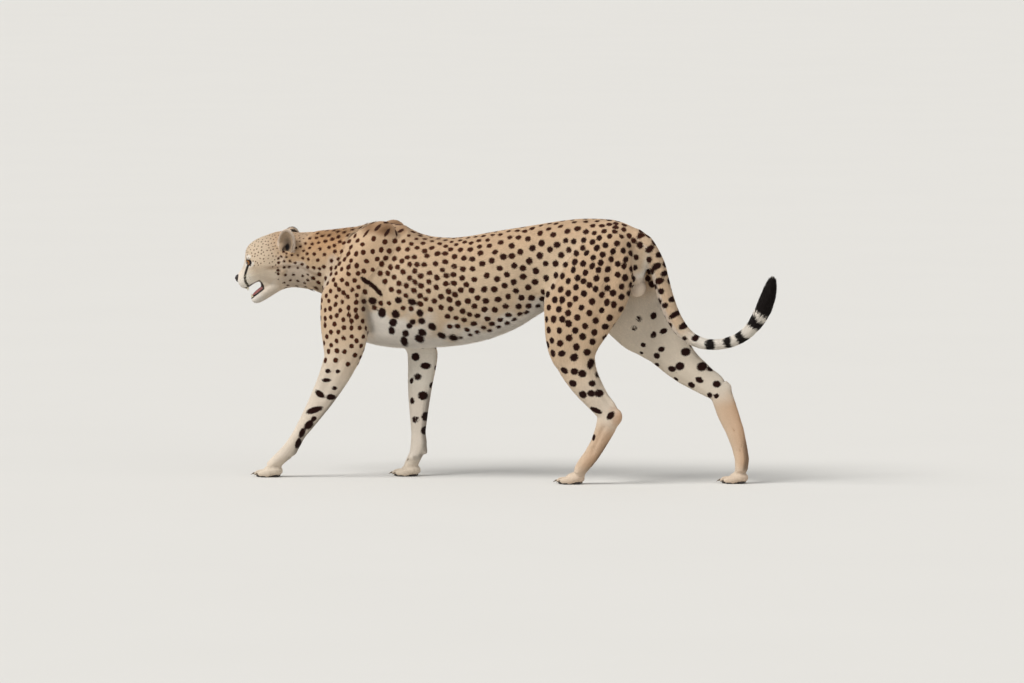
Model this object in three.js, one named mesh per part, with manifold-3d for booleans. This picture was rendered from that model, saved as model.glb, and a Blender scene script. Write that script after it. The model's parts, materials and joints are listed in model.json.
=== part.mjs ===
// A walking cheetah at life size, in millimetres: +Z up, nose towards -X, the animal's left side towards -Y.
// Each part of the body is a closed loft through a few named sections. The lofts are joined into one animal,
// which thin cuts then divide into the parts that a person would name.
import * as THREE from "three";
import { mergeVertices } from "three/addons/utils/BufferGeometryUtils.js";
import Module from "manifold-3d";

const wasm = await Module();
wasm.setup();

// ---- Driving dimensions ---------------------------------------------------------------

const GAP = 0.3; // left between neighbouring parts
const FLOOR_SINK = 2; // how far the pads sink below the floor before they are cut flat
const CUT_SPAN = 420; // side of the square slabs that part a trunk or a neck
const SIDES = [
  ["left", -1],
  ["right", 1],
];

// Trunk sections in upright planes: [x, top, bottom, half width, egg].
// A section with a positive egg is wider above its middle.
const TRUNK = [
  [-352, 672, 528, 30, 0.0],
  [-335, 715, 482, 56, 0.0],
  [-300, 748, 446, 77, 0.06],
  [-250, 763, 420, 90, 0.1],
  [-190, 768, 404, 98, 0.12],
  [-110, 761, 398, 104, 0.12],
  [-30, 741, 402, 108, 0.1],
  [60, 740, 411, 108, 0.06],
  [130, 753, 424, 104, 0.04],
  [200, 766, 448, 97, 0.0],
  [260, 776, 476, 88, 0.0],
  [320, 786, 517, 80, 0.02],
  [380, 796, 545, 80, 0.05],
  [440, 803, 556, 84, 0.05],
  [505, 805, 562, 84, 0.0],
  [562, 797, 568, 74, 0.0],
  [606, 781, 582, 56, 0.0],
  [636, 757, 612, 36, 0.0],
  [650, 738, 650, 16, 0.0],
];

// Neck sections in upright planes, from inside the chest to inside the skull.
const NECK = [
  [-215, 764, 520, 84, 0.0],
  [-270, 766, 530, 82, 0.0],
  [-325, 758, 548, 75, 0.0],
  [-380, 752, 567, 66, 0.0],
  [-430, 748, 575, 61, 0.0],
  [-475, 746, 580, 58, 0.0],
  [-510, 740, 600, 50, 0.0],
];

// The head has a frame of its own: x runs back from the tip of the nose, z up from it.
const HEAD_PITCH = 27; // degrees, nose down
const HEAD_YAW = 10; // degrees, nose to the animal's left
const NOSE_TIP = [-639, -32, 603];
const SKULL = [
  [0, 6, -27, 13, 0.0],
  [4, 10, -35, 21, -0.05],
  [16, 15, -40, 28, -0.1],
  [30, 22, -41, 31, -0.15],
  [43, 36, -40, 33, -0.14],
  [55, 53, -41, 38, -0.08],
  [67, 69, -46, 46, 0.0],
  [84, 79, -66, 57, 0.04],
  [106, 83, -86, 64, 0.04],
  [132, 82, -96, 66, 0.04],
  [160, 78, -97, 65, 0.02],
  [190, 71, -92, 61, 0.0],
  [218, 54, -72, 50, 0.0],
];
// Swellings (or hollows) on each side of the head: [x, y, z, radius, height].
const HEAD_FORMS = [
  [20, 22, -24, 16, 5], // whisker pad
  [34, 34, -14, 12, -2], // in front of the cheek
  [66, 44, 6, 16, -3], // under the eye
  [98, 66, 6, 26, 7], // cheekbone
  [76, 34, 50, 15, 5], // brow
  [88, 50, 56, 16, -2], // temple
  [124, 52, -56, 30, 9], // jaw muscle
  [52, 0, 50, 12, -4], // stop
  [18, 0, 14, 14, 2], // bridge of the nose
];
const PALATE = [48, 0, -48, 34, 17, 12];

const EYE_AT = [69.8, 28.6, 28.4];
const EYE_RADIUS = 15.5;
const EYE_LOOK = [-0.8, 0.58, 0.1];
const EYE_OPENING = [27, 20]; // width and height between the lids
const EYE_SLANT = 10; // degrees, the inner corner down
const LID_THICKNESS = 3;

const NOSE_PAD = [
  [-4, 4, -6, 8, 0.3],
  [-1, 8, -10, 13, 0.35],
  [4, 11, -13, 15, 0.35],
  [10, 12, -13, 14, 0.3],
  [15, 9, -10, 9, 0.2],
];
const NOSTRIL = [-1, 8.5, -1.5, 7, 4, 3.6];

const JAW = [
  [5, -50, -64, 9, -0.1],
  [10, -45, -71, 16, -0.1],
  [20, -43, -76, 21, -0.05],
  [38, -42, -79, 25, 0.0],
  [58, -42, -81, 30, 0.0],
  [80, -42, -83, 37, 0.0],
  [104, -40, -86, 45, 0.0],
  [130, -40, -89, 48, 0.0],
  [150, -48, -86, 38, 0.0],
];
const JAW_HINGE = [150, -30];
const JAW_OPEN = 10; // degrees
const JAW_CUT_X = 82; // the corner of the mouth, where the jaw is parted from the head
const JAW_TROUGH = [46, 0, -40, 32, 15, 9];
const TONGUE = [46, 0, -46, 33, 14, 9];
// Each lip is a roll round the edge of the mouth: [x, z of its middle, half length, half width].
const UPPER_LIP = [52, -33, 46, 22];
const LOWER_LIP = [60, -49, 51, 23];
const LIP_ROLL = 4; // radius
const UPPER_CANINE = [17, 16, -41];
const LOWER_CANINE = [13, 11, -45];
const CANINE_SIZE = [4, 19]; // radius and length, half of it in the gum

const EAR_AT = [197, 60, 28];
const EAR_OPENS = [-0.42, 0.9, 0.1];
const EAR_POINTS = [0.42, 0.3, 0.85];
const EAR_SIZE = [16, 29, 44]; // half depth, half width and half height
const EAR_CUP = [15, 25.5, 40.5];
const EAR_CUP_SHIFT = 9;
const EAR_CANAL = [187, 54, 10, 13, 14, 12];

// Limbs: [x, side, z, half depth seen from the side, half width, edge]. Side is measured out from the
// midline. An edge of 1 is round, a greater one runs out to a thin edge in front and behind, where a limb
// lies on the body.
const LIMB_PLANE = 50; // the limbs end here on the inner side, inside the body
const SHOULDER = {
  left: [
    [-138, 44, 782, 22, 12, 1.5],
    [-150, 54, 766, 46, 24, 1.6],
    [-178, 60, 726, 72, 35, 1.6],
    [-218, 65, 674, 85, 41, 1.6],
    [-256, 68, 618, 85, 43, 1.5],
    [-280, 71, 556, 80, 43, 1.4],
    [-285, 74, 494, 76, 41, 1.3],
    [-282, 76, 436, 74, 37, 1.15],
    [-286, 77, 392, 64, 34, 1.0],
    [-292, 77, 352, 52, 31, 1.0],
  ],
  right: [
    [-142, 44, 782, 20, 12, 1.5],
    [-152, 54, 765, 44, 24, 1.6],
    [-174, 60, 724, 70, 35, 1.6],
    [-202, 65, 669, 84, 41, 1.6],
    [-216, 68, 606, 86, 43, 1.5],
    [-202, 71, 545, 80, 43, 1.4],
    [-164, 74, 492, 71, 41, 1.3],
    [-120, 76, 448, 58, 37, 1.15],
    [-90, 77, 404, 43, 34, 1.0],
    [-82, 77, 362, 40, 31, 1.0],
  ],
};
const FOREARM = {
  left: [
    [-286, 80, 392, 50, 30],
    [-294, 80, 362, 54, 32],
    [-308, 79, 328, 50, 31],
    [-329, 77, 288, 44, 28],
    [-358, 75, 238, 37, 25],
    [-396, 72, 180, 28, 22],
    [-430, 70, 130, 22, 20],
    [-448, 69, 100, 24, 22],
    [-466, 69, 78, 24, 22],
  ],
  right: [
    [-76, 80, 402, 44, 30],
    [-78, 80, 372, 48, 32],
    [-80, 79, 338, 45, 31],
    [-84, 77, 296, 41, 28],
    [-87, 75, 244, 36, 25],
    [-88, 72, 184, 29, 22],
    [-88, 70, 134, 24, 20],
    [-88, 69, 102, 26, 22],
    [-91, 69, 74, 25, 22],
  ],
};
const FRONT_PASTERN = {
  left: [
    [-450, 69, 96, 22, 21],
    [-474, 69, 72, 22, 23],
    [-500, 69, 48, 21, 26],
    [-520, 69, 30, 18, 28],
  ],
  right: [
    [-88, 69, 92, 23, 21],
    [-96, 69, 68, 22, 23],
    [-108, 69, 44, 22, 26],
    [-118, 69, 28, 18, 28],
  ],
};
const FRONT_PAW = { left: [-512, 69], right: [-112, 69] }; // under the middle of the palm
const FRONT_PAD = [33, 31, 21]; // half length, half width and height of the palm's block
const FRONT_TOE = [27, 10.5, 13.5];

const THIGH = {
  left: [
    [566, 46, 766, 40, 16, 1.4],
    [548, 56, 728, 84, 31, 1.5],
    [518, 64, 662, 118, 41, 1.5],
    [488, 69, 598, 131, 45, 1.4],
    [464, 73, 536, 121, 45, 1.3],
    [449, 77, 482, 104, 42, 1.15],
    [440, 80, 434, 88, 38, 1.0],
    [442, 82, 392, 73, 35, 1.0],
    [452, 82, 356, 56, 31, 1.0],
  ],
  right: [
    [566, 46, 768, 40, 16, 1.4],
    [560, 56, 730, 82, 31, 1.5],
    [556, 64, 664, 108, 41, 1.5],
    [560, 69, 598, 119, 45, 1.4],
    [574, 73, 538, 114, 45, 1.3],
    [602, 77, 491, 95, 42, 1.15],
    [640, 80, 457, 88, 38, 1.0],
    [664, 82, 430, 73, 35, 1.0],
    [688, 82, 405, 60, 31, 1.0],
  ],
};
const SHANK = {
  left: [
    [440, 82, 410, 62, 32],
    [449, 82, 370, 62, 34],
    [464, 82, 334, 54, 32],
    [486, 81, 298, 47, 29],
    [516, 79, 258, 39, 24],
    [542, 77, 224, 33, 20],
    [556, 76, 200, 27, 19],
  ],
  right: [
    [660, 82, 440, 64, 32],
    [687, 82, 417, 70, 35],
    [713, 82, 389, 64, 34],
    [746, 81, 355, 55, 31],
    [792, 79, 324, 48, 26],
    [830, 77, 297, 40, 22],
    [858, 76, 276, 32, 20],
  ],
};
const HEEL = { left: [580, 77, 207], right: [882, 77, 290] }; // the point of the hock
const HEEL_SIZE = [18, 13, 27];
const HOCK = {
  left: [
    [560, 77, 226, 24, 18],
    [550, 77, 196, 37, 21],
    [535, 76, 158, 32, 20],
    [517, 75, 122, 27, 20],
    [496, 75, 88, 24, 23],
    [472, 75, 58, 23, 26],
    [456, 75, 34, 19, 28],
  ],
  right: [
    [856, 77, 302, 24, 17],
    [868, 77, 262, 36, 21],
    [886, 76, 212, 36, 20],
    [907, 75, 162, 30, 20],
    [922, 75, 112, 25, 22],
    [930, 75, 74, 23, 25],
    [928, 75, 36, 20, 27],
  ],
};
const HIND_PAW = { left: [446, 75], right: [920, 75] };
const HIND_PAD = [32, 30, 20];
const HIND_TOE = [26, 10, 13];

const TOES = [
  // forward reach, sideways place and turn in degrees of each toe, from the inner one out
  [19, -24, -9],
  [34, -8.5, -3],
  [34, 8.5, 3],
  [19, 24, 9],
];
const CLAW = [3.4, 13]; // radius and length, half of it in the toe
const CLAW_DROOP = 16; // degrees
const CLAW_HEIGHT = 0.72; // of a toe's half height
const DEW_CLAW = { left: [-470, 46, 62], right: [-104, 46, 60] };
const DEW_CLAW_SIZE = [13, 8, 11];
const DEW_CLAW_DROOP = 35;
const CARPAL_PAD = { left: [-445, 69, 80], right: [-64, 69, 80] }; // behind each wrist
const CARPAL_PAD_SIZE = [13, 10, 16];

// Tail sections square to its line: [x, z, radius].
const TAIL = [
  [600, 748, 30],
  [635, 736, 31],
  [654, 715, 29.5],
  [671, 686, 28.5],
  [684, 660, 28],
  [697, 610, 27],
  [712, 560, 26.5],
  [729, 516, 26],
  [752, 478, 24.5],
  [782, 447, 22.5],
  [820, 430, 20],
  [860, 426, 18.5],
  [905, 433, 19],
  [948, 452, 20.5],
  [984, 486, 22],
  [1010, 528, 24],
  [1027, 572, 22],
  [1038, 612, 16],
  [1042, 634, 8],
];
const SCROTUM = [621, 0, 595, 24, 21, 26];

// ---- Solids ---------------------------------------------------------------------------

const radians = THREE.MathUtils.degToRad;

function solidOf(geometry) {
  const bare = geometry.index ? geometry.toNonIndexed() : geometry.clone();
  bare.deleteAttribute("normal");
  bare.deleteAttribute("uv");
  const merged = mergeVertices(bare, 1e-3);
  return new wasm.Manifold(
    new wasm.Mesh({
      numProp: 3,
      vertProperties: merged.attributes.position.array,
      triVerts: new Uint32Array(merged.index.array),
    }),
  );
}

function geometryOf(solid) {
  const mesh = solid.getMesh();
  const geometry = new THREE.BufferGeometry();
  geometry.setAttribute("position", new THREE.BufferAttribute(mesh.vertProperties, 3));
  geometry.setIndex(new THREE.BufferAttribute(mesh.triVerts, 1));
  geometry.computeVertexNormals();
  return geometry;
}

const join = (solids) => solids.reduce((whole, next) => whole.add(next));

function largest(solid) {
  const bodies = solid.decompose();
  return bodies.reduce((best, body) => (body.volume() > best.volume() ? body : best));
}

// A closed skin through rings of equally many points, each end closed by a fan.
function skin(rings) {
  const sides = rings[0].length;
  const first = middle(rings[0]);
  const last = middle(rings.at(-1));
  const corners = [];
  const face = (a, b, c) => corners.push(...a, ...b, ...c);
  for (let k = 0; k < sides; k += 1) {
    const next = (k + 1) % sides;
    face(first, rings[0][next], rings[0][k]);
    face(last, rings.at(-1)[k], rings.at(-1)[next]);
    for (let r = 0; r + 1 < rings.length; r += 1) {
      face(rings[r][k], rings[r][next], rings[r + 1][next]);
      face(rings[r][k], rings[r + 1][next], rings[r + 1][k]);
    }
  }
  const geometry = new THREE.BufferGeometry();
  geometry.setAttribute("position", new THREE.Float32BufferAttribute(corners, 3));
  const made = solidOf(geometry);
  return made.volume() > 0 ? made : solidOf(turned(geometry));
}

function middle(ring) {
  return ring.reduce((sum, p) => sum.add(p), new THREE.Vector3()).divideScalar(ring.length);
}

// The same faces seen from the other side.
function turned(geometry) {
  const position = geometry.attributes.position.clone();
  for (let i = 0; i < position.count; i += 3) {
    const keep = new THREE.Vector3().fromBufferAttribute(position, i);
    position.setXYZ(i, position.getX(i + 1), position.getY(i + 1), position.getZ(i + 1));
    position.setXYZ(i + 1, keep.x, keep.y, keep.z);
  }
  return new THREE.BufferGeometry().setAttribute("position", position);
}

// A smooth loft through stations {at, deep, wide, form}: deep is the half size along the section's own up,
// wide the half size sideways. Form is the egg of an upright loft, whose sections stay in planes of
// constant x, and the edge of any other.
function loft(stations, { sides = 16, steps = 1.5, upright = false, grow = 0, forms = [] }) {
  const line = new THREE.CatmullRomCurve3(stations.map((s) => new THREE.Vector3(...s.at)));
  const sizes = new THREE.CatmullRomCurve3(stations.map((s) => new THREE.Vector3(s.deep, s.wide, s.form)));
  const count = Math.round((stations.length - 1) * steps);
  const rings = [];
  for (let i = 0; i <= count; i += 1) {
    const t = i / count;
    const along = upright ? new THREE.Vector3(1, 0, 0) : line.getTangent(t);
    const side = new THREE.Vector3(0, 1, 0).addScaledVector(along, -along.y).normalize();
    const up = new THREE.Vector3().crossVectors(along, side);
    const size = sizes.getPoint(t);
    const ring = [];
    for (let k = 0; k < sides; k += 1) {
      const angle = (2 * Math.PI * k) / sides;
      const [cos, sin] = [Math.cos(angle), Math.sin(angle)];
      const fullness = upright ? sin * (1 + size.z * cos) : Math.sign(sin) * Math.abs(sin) ** size.z;
      const out = up.clone().multiplyScalar((size.x + grow) * cos);
      out.addScaledVector(side, (size.y + grow) * fullness);
      const point = line.getPoint(t).add(out);
      ring.push(point.addScaledVector(out.normalize(), swelling(point, forms)));
    }
    rings.push(ring);
  }
  return skin(rings);
}

// How far the forms that lie near a point lift it. A form given for one side works on the other side too.
function swelling({ x, y, z }, forms) {
  const lifts = forms.map(([fx, fy, fz, radius, height]) => {
    const away = (x - fx) ** 2 + (Math.abs(y) - fy) ** 2 + (z - fz) ** 2;
    return height * Math.exp(-away / radius ** 2);
  });
  return lifts.reduce((sum, lift) => sum + lift, 0);
}

// Stations from [x, top, bottom, half width, egg], for a trunk, a neck or a head.
const upright = (rows) =>
  rows.map(([x, top, bottom, wide, egg]) => ({
    at: [x, 0, (top + bottom) / 2],
    deep: (top - bottom) / 2,
    wide,
    form: egg,
  }));

// Stations from [x, side, z, half depth, half width, edge], on the left (-1) or the right (+1).
const limb = (rows, hand) =>
  rows.map(([x, y, z, deep, wide, edge = 1]) => ({ at: [x, hand * y, z], deep, wide, form: edge }));

function ellipsoid([x, y, z, rx, ry, rz], hand = 1, sides = 10) {
  const round = new THREE.SphereGeometry(1, sides, Math.round(sides * 0.7)).scale(rx, ry, rz);
  return solidOf(round.translate(x, hand * y, z));
}

function block([x0, y0, z0], [x1, y1, z1]) {
  const box = new THREE.BoxGeometry(Math.abs(x1 - x0), Math.abs(y1 - y0), Math.abs(z1 - z0));
  return solidOf(box.translate((x0 + x1) / 2, (y0 + y1) / 2, (z0 + z1) / 2));
}

// A flat slab that parts what it crosses.
function cut(at, normal, span) {
  const slab = new THREE.BoxGeometry(span, span, GAP);
  const turn = new THREE.Quaternion().setFromUnitVectors(
    new THREE.Vector3(0, 0, 1),
    new THREE.Vector3(...normal).normalize(),
  );
  slab.applyQuaternion(turn);
  slab.translate(...at);
  return solidOf(slab);
}

// Divides a solid with cuts and gives back, for each named point, the largest body near it.
function divide(solid, cuts, places) {
  const bodies = solid.subtract(join(cuts)).decompose();
  return Object.fromEntries(
    Object.entries(places).map(([name, point]) => {
      const probe = solidOf(new THREE.OctahedronGeometry(4).translate(...point));
      const found = bodies.find((body) => body.intersect(probe).volume() > 0);
      if (!found) throw new Error(`no body at ${name}`);
      return [name, found];
    }),
  );
}

// ---- Head -----------------------------------------------------------------------------

// Places what is made in the head's frame: pitched, turned and moved to the nose.
const headPlace = new THREE.Matrix4()
  .makeTranslation(...NOSE_TIP)
  .multiply(new THREE.Matrix4().makeRotationZ(radians(HEAD_YAW)))
  .multiply(new THREE.Matrix4().makeRotationY(radians(-HEAD_PITCH)));
const onHead = (solid) => solid.transform([...headPlace.elements]);
const headPoint = (x, y, z) => new THREE.Vector3(x, y, z).applyMatrix4(headPlace).toArray();

// A frame at a point whose x looks along one direction and whose z leans towards another.
function frameAt([x, y, z], look, lean, hand) {
  const ahead = new THREE.Vector3(look[0], hand * look[1], look[2]).normalize();
  const towards = new THREE.Vector3(lean[0], hand * lean[1], lean[2]);
  const side = new THREE.Vector3().crossVectors(towards, ahead).normalize();
  const up = new THREE.Vector3().crossVectors(ahead, side);
  return new THREE.Matrix4().makeBasis(ahead, side, up).setPosition(x, hand * y, z);
}

const ball = (radius, sides) => ellipsoid([0, 0, 0, radius, radius, radius], 1, sides);

function canine([x, y, z], hand, down) {
  const [radius, length] = CANINE_SIZE;
  const cone = new THREE.ConeGeometry(radius, length, 6);
  cone.rotateX((down ? -1 : 1) * Math.PI / 2);
  cone.translate(x, hand * y, z);
  return solidOf(cone);
}

const eyeFrame = (hand) => frameAt(EYE_AT, EYE_LOOK, [0, 0, 1], hand);
const placed = (solid, matrix) => solid.transform([...matrix.elements]);

// The lids: a shell round the eye with an almond opening between them.
function lids(hand) {
  const [width, height] = EYE_OPENING;
  const almond = new THREE.Shape();
  almond.moveTo(-width / 2, 0);
  almond.bezierCurveTo(-width / 4, height * 0.72, width / 4, height * 0.72, width / 2, 0);
  almond.bezierCurveTo(width / 4, -height * 0.6, -width / 4, -height * 0.6, -width / 2, 0);
  const extrusion = { depth: 2 * EYE_RADIUS, bevelEnabled: false, curveSegments: 5 };
  const through = new THREE.ExtrudeGeometry(almond, extrusion);
  through.rotateZ(radians(-hand * EYE_SLANT));
  through.rotateX(Math.PI / 2);
  through.rotateZ(Math.PI / 2);
  const shell = ball(EYE_RADIUS + LID_THICKNESS, 14).subtract(ball(EYE_RADIUS + GAP, 12));
  return shell.subtract(solidOf(through));
}

function lip([x, z, long, wide], grow = 0) {
  const roll = new THREE.TorusGeometry(1, (LIP_ROLL + grow) / long, 5, 16).scale(long, wide, long);
  return solidOf(roll.translate(x, 0, z));
}

const skull = (grow) =>
  loft(upright(SKULL), { sides: 24, steps: 1.75, upright: true, grow, forms: HEAD_FORMS });

// The jaw and the throat behind it, with the mouth as far open as it is worn.
function openJaw() {
  const [x, z] = JAW_HINGE;
  return loft(upright(JAW), { sides: 16, upright: true })
    .subtract(ellipsoid(JAW_TROUGH, 1, 12))
    .add(join([ellipsoid(TONGUE), lip(LOWER_LIP)]))
    .add(join([canine(LOWER_CANINE, -1, false), canine(LOWER_CANINE, 1, false)]))
    .translate([-x, 0, -z])
    .rotate([0, -JAW_OPEN, 0])
    .translate([x, 0, z]);
}

const noseLoft = (grow) => loft(upright(NOSE_PAD), { sides: 14, steps: 1, upright: true, grow });

function ear(hand) {
  const [deep, wide, high] = EAR_SIZE;
  const [cupDeep, cupWide, cupHigh] = EAR_CUP;
  const outer = ellipsoid([0, 0, 0, deep, wide, high], 1, 12);
  const cup = ellipsoid([EAR_CUP_SHIFT, 0, 0, cupDeep, cupWide, cupHigh], 1, 12);
  return placed(outer.subtract(cup), frameAt(EAR_AT, EAR_OPENS, EAR_POINTS, hand));
}

function buildHead(neckGrown) {
  const jaw = openJaw();
  const ahead = block([-60, -90, -160], [JAW_CUT_X, 90, 40]);
  const behind = block([JAW_CUT_X + GAP, -90, -160], [240, 90, 60]);
  let head = skull(0).subtract(ellipsoid(PALATE, 1, 12)).add(lip(UPPER_LIP)).subtract(noseLoft(GAP));
  let grown = skull(GAP).subtract(ellipsoid(PALATE, 1, 12)).add(lip(UPPER_LIP, GAP));
  const parts = {};
  for (const [name, hand] of SIDES) {
    const eyeBall = placed(ball(EYE_RADIUS, 12), eyeFrame(hand));
    parts[`eye_${name}`] = onHead(eyeBall);
    head = head.subtract(placed(ball(EYE_RADIUS + GAP, 12), eyeFrame(hand)));
    head = head.add(placed(lids(hand), eyeFrame(hand)));
    head = head.add(canine(UPPER_CANINE, hand, true)).subtract(ellipsoid(EAR_CANAL, hand, 10));
    grown = grown.add(canine([...UPPER_CANINE.slice(0, 2), UPPER_CANINE[2] - GAP], hand, true));
  }
  const canals = join(SIDES.map(([, hand]) => ellipsoid(EAR_CANAL, hand, 10)));
  const taken = onHead(grown.subtract(canals)).add(neckGrown);
  for (const [name, hand] of SIDES) parts[`ear_${name}`] = largest(onHead(ear(hand)).subtract(taken));
  parts.lower_jaw = onHead(jaw.intersect(ahead).subtract(grown));
  parts.nose = onHead(noseLoft(0).subtract(ellipsoid(NOSTRIL, -1, 8)).subtract(ellipsoid(NOSTRIL, 1, 8)));
  return { head: onHead(largest(head.add(jaw.intersect(behind)))), parts };
}

// ---- Limbs and tail -------------------------------------------------------------------

function claw(turn, [x, y, z]) {
  const horn = new THREE.ConeGeometry(CLAW[0], CLAW[1], 4);
  return horn.rotateZ(Math.PI / 2 + radians(turn)).translate(x, y, z);
}

function paw([x, y], [padLong, padWide, padHigh], [toeLong, toeWide, toeHigh], hand) {
  const parts = [ellipsoid([x, y, padHigh - FLOOR_SINK, padLong, padWide, padHigh], hand, 9)];
  for (const [reach, side, turn] of TOES) {
    const swing = new THREE.Matrix4().makeRotationZ(-hand * radians(turn));
    swing.setPosition(x - reach, hand * (y + side), 0);
    const toe = new THREE.SphereGeometry(1, 7, 5).scale(toeLong, toeWide, toeHigh);
    toe.translate(0, 0, toeHigh - FLOOR_SINK);
    const horn = claw(CLAW_DROOP, [-toeLong - 2, 0, toeHigh * CLAW_HEIGHT]);
    for (const piece of [toe, horn]) parts.push(solidOf(piece.applyMatrix4(swing)));
  }
  return join(parts);
}

function dewClaw([x, y, z], hand) {
  const [deep, , high] = DEW_CLAW_SIZE;
  const horn = claw(DEW_CLAW_DROOP, [x - deep, hand * y, z - 0.7 * high]);
  return ellipsoid([x, y, z, ...DEW_CLAW_SIZE], hand, 7).add(solidOf(horn));
}

const floor = block([-1500, -500, -100], [1500, 500, 0]);

// The part of a limb that lies in the body, kept to its own side of the limb plane.
function limbLoft(rows, hand, sides, grow = 0) {
  const outside = block([-1500, hand * (LIMB_PLANE - grow), -50], [1500, hand * 400, 1000]);
  return loft(limb(rows, hand), { sides, grow }).intersect(outside);
}

const frontLeg = (name, hand, grow = 0) =>
  limbLoft(SHOULDER[name], hand, 14, grow).add(loft(limb(FOREARM[name], hand), { sides: 12, grow }));

const hindLeg = (name, hand, grow = 0) =>
  limbLoft(THIGH[name], hand, 16, grow).add(loft(limb(SHANK[name], hand), { sides: 12, grow }));

const wholeFrontLeg = (name, hand) =>
  join([
    frontLeg(name, hand),
    loft(limb(FRONT_PASTERN[name], hand), { sides: 12, steps: 1 }),
    paw(FRONT_PAW[name], FRONT_PAD, FRONT_TOE, hand),
    dewClaw(DEW_CLAW[name], hand),
    ellipsoid([...CARPAL_PAD[name], ...CARPAL_PAD_SIZE], hand, 8),
  ]).subtract(floor);

const wholeHindLeg = (name, hand) =>
  join([
    hindLeg(name, hand),
    loft(limb(HOCK[name], hand), { sides: 12, steps: 1 }),
    ellipsoid([...HEEL[name], ...HEEL_SIZE], hand),
    paw(HIND_PAW[name], HIND_PAD, HIND_TOE, hand),
  ]).subtract(floor);

function tail() {
  const rows = TAIL.map(([x, z, radius]) => [x, 0, z, radius, radius]);
  return loft(limb(rows, 1), { sides: 10 });
}

// A cut square to a limb, halfway between two of its sections.
function limbCut(rows, at, hand, span) {
  const [a, b] = limb(rows, hand).slice(at, at + 2).map((station) => new THREE.Vector3(...station.at));
  return cut(a.clone().lerp(b, 0.5).toArray(), b.sub(a).toArray(), span);
}

// ---- The whole animal, and its parts --------------------------------------------------

const neckLoft = (grow) => loft(upright(NECK), { sides: 20, steps: 1, upright: true, grow });

const { head, parts: headParts } = buildHead(neckLoft(GAP));

const legTaken = SIDES.flatMap(([name, hand]) => [frontLeg(name, hand, GAP), hindLeg(name, hand, GAP)]);

const trunk = join([
  loft(upright(TRUNK), { sides: 20, steps: 1.35, upright: true }),
  neckLoft(0),
  head,
  tail(),
  ellipsoid(SCROTUM, 1, 12),
]).subtract(join([...legTaken, ...Object.values(headParts)]));

const object = new THREE.Group();
const coat = { color: 0xc9a06a, roughness: 0.85, metalness: 0 };
const skinDark = { color: 0x231b18, roughness: 0.45, metalness: 0 };
const amber = { color: 0x8a5a1c, roughness: 0.1, metalness: 0 };

function addPart(name, solid, finish) {
  const mesh = new THREE.Mesh(geometryOf(largest(solid)), new THREE.MeshStandardMaterial(finish));
  mesh.name = name;
  object.add(mesh);
}

const trunkParts = divide(
  trunk,
  [
    cut([-452, 0, 665], [0.98, 0, -0.17], CUT_SPAN),
    cut([-335, 0, 660], [0.94, 0, -0.35], CUT_SPAN),
    cut([110, 0, 590], [1, 0, 0], CUT_SPAN),
    cut([332, 0, 640], [1, 0, 0], CUT_SPAN),
    cut([681, 0, 666], [0.42, 0, -0.91], 74),
    cut([744, 0, 490], [0.52, 0, -0.85], 90),
    cut([882, 0, 428], [1, 0, 0.1], 90),
    cut([1012, 0, 532], [0.36, 0, 0.93], 90),
  ],
  {
    head: headPoint(120, 0, 10),
    neck: [-400, 0, 660],
    chest: [-100, 0, 600],
    belly: [220, 0, 620],
    rump: [480, 0, 700],
    tail_root: [697, 0, 610],
    tail_middle: [820, 0, 430],
    tail_end: [948, 0, 452],
    tail_tip: [1027, 0, 572],
  },
);
for (const [name, solid] of Object.entries(trunkParts)) addPart(name, solid, coat);
for (const [name, solid] of Object.entries(headParts)) {
  const finish = name.startsWith("eye") ? amber : name === "nose" ? skinDark : coat;
  addPart(name, solid, finish);
}

for (const [name, hand] of SIDES) {
  const pointOn = (rows, at) => [rows[at][0], hand * rows[at][1], rows[at][2]];
  const front = divide(
    wholeFrontLeg(name, hand),
    [limbCut(FOREARM[name], 1, hand, 150), limbCut(FOREARM[name], 6, hand, 110)],
    {
      shoulder: pointOn(SHOULDER[name], 4),
      forearm: pointOn(FOREARM[name], 4),
      paw: [FRONT_PAW[name][0], hand * FRONT_PAW[name][1], 20],
    },
  );
  for (const [part, solid] of Object.entries(front)) addPart(`front_${name}_${part}`, solid, coat);
  const hind = divide(
    wholeHindLeg(name, hand),
    [
      limbCut(SHANK[name], 0, hand, 260),
      limbCut(HOCK[name], 0, hand, 170),
      limbCut(HOCK[name], 4, hand, 110),
    ],
    {
      thigh: pointOn(THIGH[name], 3),
      shank: pointOn(SHANK[name], 3),
      hock: pointOn(HOCK[name], 2),
      paw: [HIND_PAW[name][0], hand * HIND_PAW[name][1], 18],
    },
  );
  for (const [part, solid] of Object.entries(hind)) addPart(`hind_${name}_${part}`, solid, coat);
}

// The origin is on the floor, under the middle of the animal.
const box = new THREE.Box3().setFromObject(object);
object.position.set(-(box.min.x + box.max.x) / 2, -(box.min.y + box.max.y) / 2, -box.min.z);

export default object;
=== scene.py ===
# skin, coat, eyes, nose, mouth, claws, pads and whiskers of a walking cheetah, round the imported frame
import json
import math
import bpy
import numpy as np
from mathutils import Matrix, Vector
from mathutils.bvhtree import BVHTree
from mathutils.kdtree import KDTree

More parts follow.
